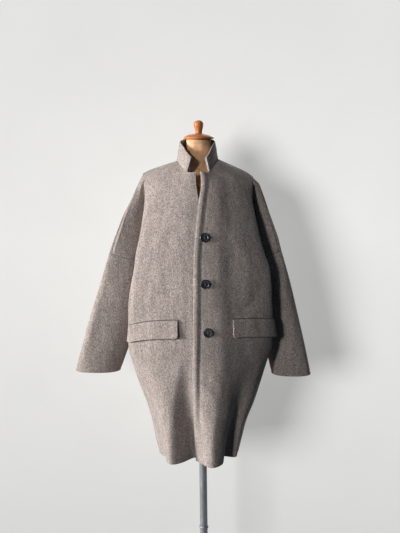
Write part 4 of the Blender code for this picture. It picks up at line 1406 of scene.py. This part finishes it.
class COAT_OT_flaps(bpy.types.Operator):
    """Pocket flaps, standing out a little at their lower edges"""

    bl_idname = "coat.flaps"
    bl_label = "Pocket flaps"

    def execute(self, context):
        look = context.scene.coat_look
        walls = np.broadcast_to(flap_wall(FLAP_DOWN)[:, None], (len(FLAP_DOWN), len(FLAP_ACROSS)))
        for side, name, front in ((-1, "flap_right", "front_right"), (1, "flap_left", "front_left")):
            points = flap_points(side)
            sew_cloth(name, points, side, walls, look)
            # Stitched seam sunk along each flap's top: real stitching, whose thread is darker than the
            # wool to paint the shade line above the flap
            above = points[0] + (points[0] - points[1]) * FLAP_SEAM_ABOVE
            out = unit(points[0] * np.array((1.0, 1.0, 0.0)))
            path = above - out * FLAP_SEAM_SUNK
            sew(name + "_seam", stitches(path, FLAP_STITCH, FLAP_STITCH_GAP), FLAP_THREAD, look)
        return {"FINISHED"}


@functools.cache
def upper_front_place(x, z):
    """Landmark position on the upper front at a place in the picture's plane."""
    across = [front_patch(1, z, float(place))[0][0] for place in LAP_PLACES]
    return float(np.interp(x, across, LAP_PLACES))


def button_frame(x, z):
    """Place and turn of a button on the upper front."""
    point, normal = front_patch(1, z, upper_front_place(x, z))
    turn = Vector(normal).to_track_quat("Z", "Y").to_matrix().to_4x4()
    return Matrix.Translation(Vector(point + normal * BUTTON_SEAT) * MM) @ turn


class COAT_OT_buttons(bpy.types.Operator):
    """Round four-hole buttons, sewn on with thread"""

    bl_idname = "coat.buttons"
    bl_label = "Buttons"

    def execute(self, context):
        look = context.scene.coat_look
        profile = rounded([(share * BUTTON_RADIUS, height) for share, height in BUTTON_PROFILE])
        for number, (x, z) in enumerate(BUTTON_PLACES):
            name = f"button_{number + 1}"
            verts, faces = turned_mesh(profile, BUTTON_SIDES)
            piece = new_piece(name + "_horn", verts * MM, faces,
                              finish_named("polished_horn", button_material, look))
            place = button_frame(x, z)
            self.drill(piece)
            piece.data.transform(place)
            dress(piece, "button_black", name)
            turned = np.array(place.to_3x3())
            seat = np.array(place.translation) / MM
            sew(name + "_thread", [path @ turned.T + seat for path in self.thread_paths()],
                BUTTON_THREAD, look)
            sew(name + "_hole", self.hole_paths(x, z), HOLE_THREAD, look)
        return {"FINISHED"}

    def drill(self, piece):
        """Four blind holes in the dished middle of a button."""
        verts, faces = turned_mesh(((0, HOLE_TOP), (BUTTON_HOLE, HOLE_TOP), (BUTTON_HOLE, HOLE_FLOOR),
                                    (0, HOLE_FLOOR)), HOLE_SIDES)
        places = [np.array((x, y, 0.0)) for x in (-HOLE_ASIDE, HOLE_ASIDE)
                  for y in (-HOLE_ASIDE, HOLE_ASIDE)]
        all_verts = np.concatenate([verts + place for place in places])
        all_faces = [tuple(vert + count * len(verts) for vert in face)
                     for count in range(len(places)) for face in faces]
        drills = new_piece("drills", all_verts * MM, all_faces, piece.data.materials[0])
        cut = piece.modifiers.new("Holes", "BOOLEAN")
        cut.object = drills
        bpy.context.view_layer.update()
        found = piece.evaluated_get(bpy.context.evaluated_depsgraph_get())
        data = bpy.data.meshes.new_from_object(found)
        piece.modifiers.clear()
        piece.data = data
        bpy.data.objects.remove(drills)
        data.set_sharp_from_angle(angle=SHARP)

    def thread_paths(self):
        """Threads from hole to hole, two strands side by side on each of the two bars."""
        across = np.linspace(-1, 1, THREAD_POINTS)
        rise = HOLE_TOP - THREAD_DIP * np.abs(across) ** 4
        paths = []
        for row in (-HOLE_ASIDE, HOLE_ASIDE):
            for strand in (-BUTTON_THREAD, BUTTON_THREAD):
                level = np.full(THREAD_POINTS, row + strand)
                paths.append(np.stack([HOLE_ASIDE * across, level, rise], axis=-1))
        return paths

    def hole_paths(self, x, z):
        """The worked edge of a buttonhole, a long loop of thread that ends beside the button."""
        first = upper_front_place(x - HOLE_BACK, z)
        last = upper_front_place(x + HOLE_REACH, z)
        loop = []
        for angle in np.linspace(0, 2 * np.pi, LOOP_POINTS):
            share = (1 + squared(np.cos(angle), HOLE_SQUARENESS)) / 2
            point, normal = front_patch(1, float(z + HOLE_HALF * np.sin(angle)),
                                        float(first + (last - first) * share))
            loop.append(point + normal * HOLE_THREAD / 2)
        return [loop]


def form_ring(z, steps):
    """Ring of the dress form at a height."""
    turn = 2 * np.pi * np.arange(steps) / steps
    power = 2 / FORM_SQUARENESS
    across = squared(np.cos(turn), power)
    deep = squared(np.sin(turn), power)
    depth = np.where(deep < 0, smooth("form", "front", z), smooth("form", "back", z))
    return np.stack([smooth("form", "half_width", z) * across, depth * deep,
                     np.full(steps, z)], axis=-1)


class COAT_OT_form(bpy.types.Operator):
    """Dress form: linen-covered torso and neck with a turned cap and knob"""

    bl_idname = "coat.form"
    bl_label = "Dress form"

    def execute(self, context):
        look = context.scene.stand_look
        levels = np.linspace(NECK_TOP, FORM_BOTTOM, FORM_LEVELS)
        rings = [form_ring(float(z), FORM_SIDES) for z in levels]
        verts, faces = closed_rings(rings, (0.0, 0.0, NECK_TOP), (0.0, 0.0, FORM_BOTTOM))
        linen = finish_named("woven_linen", linen_material, look)
        torso = new_piece("torso_linen", verts * MM, faces, linen)
        dress(torso, "linen", "form_torso")
        cap = NECK_TOP + SEAM_GAP
        knob = cap + CAP_PROFILE[0][1] + SEAM_GAP
        for name, profile, seat in (("neck_cap", CAP_PROFILE, cap), ("neck_knob", KNOB_PROFILE, knob)):
            verts, faces = turned_mesh(rounded(profile), WOOD_SIDES)
            verts = verts + np.array((0, 0, seat))
            piece = new_piece(name + "_wood", verts * MM, faces,
                              finish_named("waxed_wood", wood_material, look))
            dress(piece, "turned_wood", name)
        return {"FINISHED"}


class COAT_OT_stand(bpy.types.Operator):
    """Pole with a small bead, and a plain round base"""

    bl_idname = "coat.stand"
    bl_label = "Pole and base"

    def execute(self, context):
        look = context.scene.stand_look
        top = FORM_BOTTOM - SEAM_GAP
        foot = BASE_THICK + SEAM_GAP
        bead = [(POLE_RADIUS + (BEAD_RADIUS - POLE_RADIUS) * math.sin(math.pi * share),
                 BEAD_Z + BEAD_HALF * math.cos(math.pi * share))
                for share in np.linspace(0, 1, BEAD_POINTS)]
        pole = [(0.0, top), (POLE_RADIUS - POLE_ROUND, top), (POLE_RADIUS, top - POLE_ROUND), *bead,
                (POLE_RADIUS, foot), (0.0, foot)]
        arc = [(BASE_RADIUS - BASE_ROUND + BASE_ROUND * math.sin(turn),
                BASE_THICK - BASE_ROUND + BASE_ROUND * math.cos(turn))
               for turn in np.linspace(0, math.pi / 2, BASE_POINTS)]
        base = [(0.0, BASE_THICK), (POLE_RADIUS + BASE_FLAT, BASE_THICK), *arc, (BASE_RADIUS, BASE_FOOT),
                (BASE_RADIUS - BASE_FOOT, 0.0), (0.0, 0.0)]
        for name, profile, sides in (("pole", pole, POLE_SIDES), ("base", base, BASE_SIDES)):
            verts, faces = turned_mesh(profile, sides)
            piece = new_piece(name + "_steel", verts * MM, faces,
                              finish_named("satin_steel", steel_material, look))
            piece.data.set_sharp_from_angle(angle=SHARP)
            dress(piece, "pole_steel", name)
        return {"FINISHED"}


class COAT_OT_stage(bpy.types.Operator):
    """Plain pale floor and wall, soft light from the left, and the camera"""

    bl_idname = "coat.stage"
    bl_label = "Stage, lights and camera"

    def execute(self, context):
        look = context.scene.stage_look
        wall = self.add_backdrop(look)
        self.add_lights(context, look, wall)
        self.add_camera(context, look)
        return {"FINISHED"}

    def add_backdrop(self, look):
        """Pale floor and a wall close behind the coat, that shows from its front alone."""
        corners = ((-WALL_HALF, FLOOR_FRONT, 0.0), (WALL_HALF, FLOOR_FRONT, 0.0),
                   (WALL_HALF, FLOOR_BACK, 0.0), (-WALL_HALF, FLOOR_BACK, 0.0))
        plaster = plaster_material("floor", look.floor, FLOOR_GLOW)
        floor = new_piece("floor", corners, [(0, 1, 2, 3)], plaster)
        corners = ((-WALL_HALF, WALL_Y, 0.0), (WALL_HALF, WALL_Y, 0.0),
                   (WALL_HALF, WALL_Y, WALL_TOP), (-WALL_HALF, WALL_Y, WALL_TOP))
        wall = new_piece("wall", corners, [(0, 1, 2, 3)], plaster_material("wall", look.wall, look.glow))
        floor.visible_diffuse = False
        wall.visible_diffuse = False
        return wall

    def add_lights(self, context, look, wall):
        """Lights on the coat from the left, the front and behind, and one on the wall alone.

        The floor, the wall and the room show pale but light nothing themselves.
        """
        world = bpy.data.worlds.new("room")
        context.scene.world = world
        world.use_nodes = True
        background = world.node_tree.nodes["Background"]
        background.inputs["Color"].default_value = (*look.wall, 1.0)
        background.inputs["Strength"].default_value = 1.0
        world.cycles_visibility.diffuse = False
        world.cycles_visibility.glossy = False
        coat_only = self.linked("not_lit_by_window", wall, "EXCLUDE")
        wall_only = self.linked("lit_by_wall_wash", wall, "INCLUDE")
        high = 2 * look.above
        suns = (
            ("window", WARM, look.key, look.aside, look.above, look.softness, coat_only),
            ("sky", WARM, look.fill, look.fill_aside, high, look.softness / FILL_SHARPNESS, coat_only),
            ("room", COOL, look.room, 0.0, high, ROOM_SOFTNESS, coat_only),
            ("behind", WARM, look.behind, BEHIND_ASIDE, high, 2 * look.softness, coat_only),
            ("wall_wash", WARM, look.wash, look.wash_aside, look.above, look.softness, wall_only),
        )
        for name, colour, strength, aside, above, softness, lit in suns:
            sun = self.add_sun(context, name, colour, strength, aside, above, softness)
            sun.light_linking.receiver_collection = lit
            if name == "behind":
                sun.light_linking.blocker_collection = coat_only

    def linked(self, name, piece, state):
        """Collection that lets a light reach only one piece, or all but that piece."""
        pieces = bpy.data.collections.new(name)
        pieces.objects.link(piece)
        pieces.collection_objects[0].light_linking.link_state = state
        return pieces

    def add_sun(self, context, name, colour, strength, aside, above, softness):
        """Soft parallel light, turned aside from the camera to the left and raised over level."""
        lamp = bpy.data.lights.new(name, "SUN")
        lamp.energy = strength
        lamp.angle = softness
        lamp.color = colour
        sun = bpy.data.objects.new(name, lamp)
        towards = Vector((math.sin(aside), math.cos(aside), -math.tan(above)))
        sun.rotation_euler = towards.to_track_quat("-Z", "Y").to_euler()
        context.scene.collection.objects.link(sun)
        return sun

    def add_camera(self, context, look):
        """Camera at the picture's height, tilt and distance."""
        lens = bpy.data.cameras.new("camera")
        lens.sensor_width = CAMERA_SENSOR
        lens.lens = CAMERA_LENS
        camera = bpy.data.objects.new("camera", lens)
        place = Matrix.Translation((CAMERA_X, -look.distance, look.height))
        tilt = Matrix.Rotation(math.pi / 2 - look.pitch, 4, "X")
        camera.matrix_world = place @ tilt @ Matrix.Rotation(look.roll, 4, "Z")
        context.scene.collection.objects.link(camera)
        context.scene.camera = camera
        context.scene.view_settings.view_transform = "Standard"


OPERATORS = (COAT_OT_stage, COAT_OT_form, COAT_OT_stand, COAT_OT_body, COAT_OT_sleeves,
             COAT_OT_collar, COAT_OT_flaps, COAT_OT_buttons)


class COAT_PT_panel(bpy.types.Panel):
    """Buttons for each step of the coat"""

    bl_idname = "COAT_PT_panel"
    bl_label = "Short wool coat"
    bl_space_type = "VIEW_3D"
    bl_region_type = "UI"
    bl_category = "Coat"

    def draw(self, context):
        for operator in OPERATORS:
            self.layout.operator(operator.bl_idname)
        for group in ("coat_look", "stand_look", "stage_look"):
            settings = getattr(context.scene, group)
            box = self.layout.box()
            for name in settings.__annotations__:
                box.prop(settings, name)


GROUPS = {"coat_look": CoatLook, "stand_look": StandLook, "stage_look": StageLook}


def register():
    """Adds the classes and the scene's settings."""
    for item in (*GROUPS.values(), *OPERATORS, COAT_PT_panel):
        bpy.utils.register_class(item)
    for name, group in GROUPS.items():
        setattr(bpy.types.Scene, name, bpy.props.PointerProperty(type=group))


def unregister():
    """Takes the classes and the scene's settings away again."""
    for name in GROUPS:
        delattr(bpy.types.Scene, name)
    for item in reversed((*GROUPS.values(), *OPERATORS, COAT_PT_panel)):
        bpy.utils.unregister_class(item)


def main():
    """Registers the classes, then builds every piece."""
    register()
    for operator in OPERATORS:
        group, name = operator.bl_idname.split(".")
        getattr(getattr(bpy.ops, group), name)()


if __name__ == "__main__":
    main()
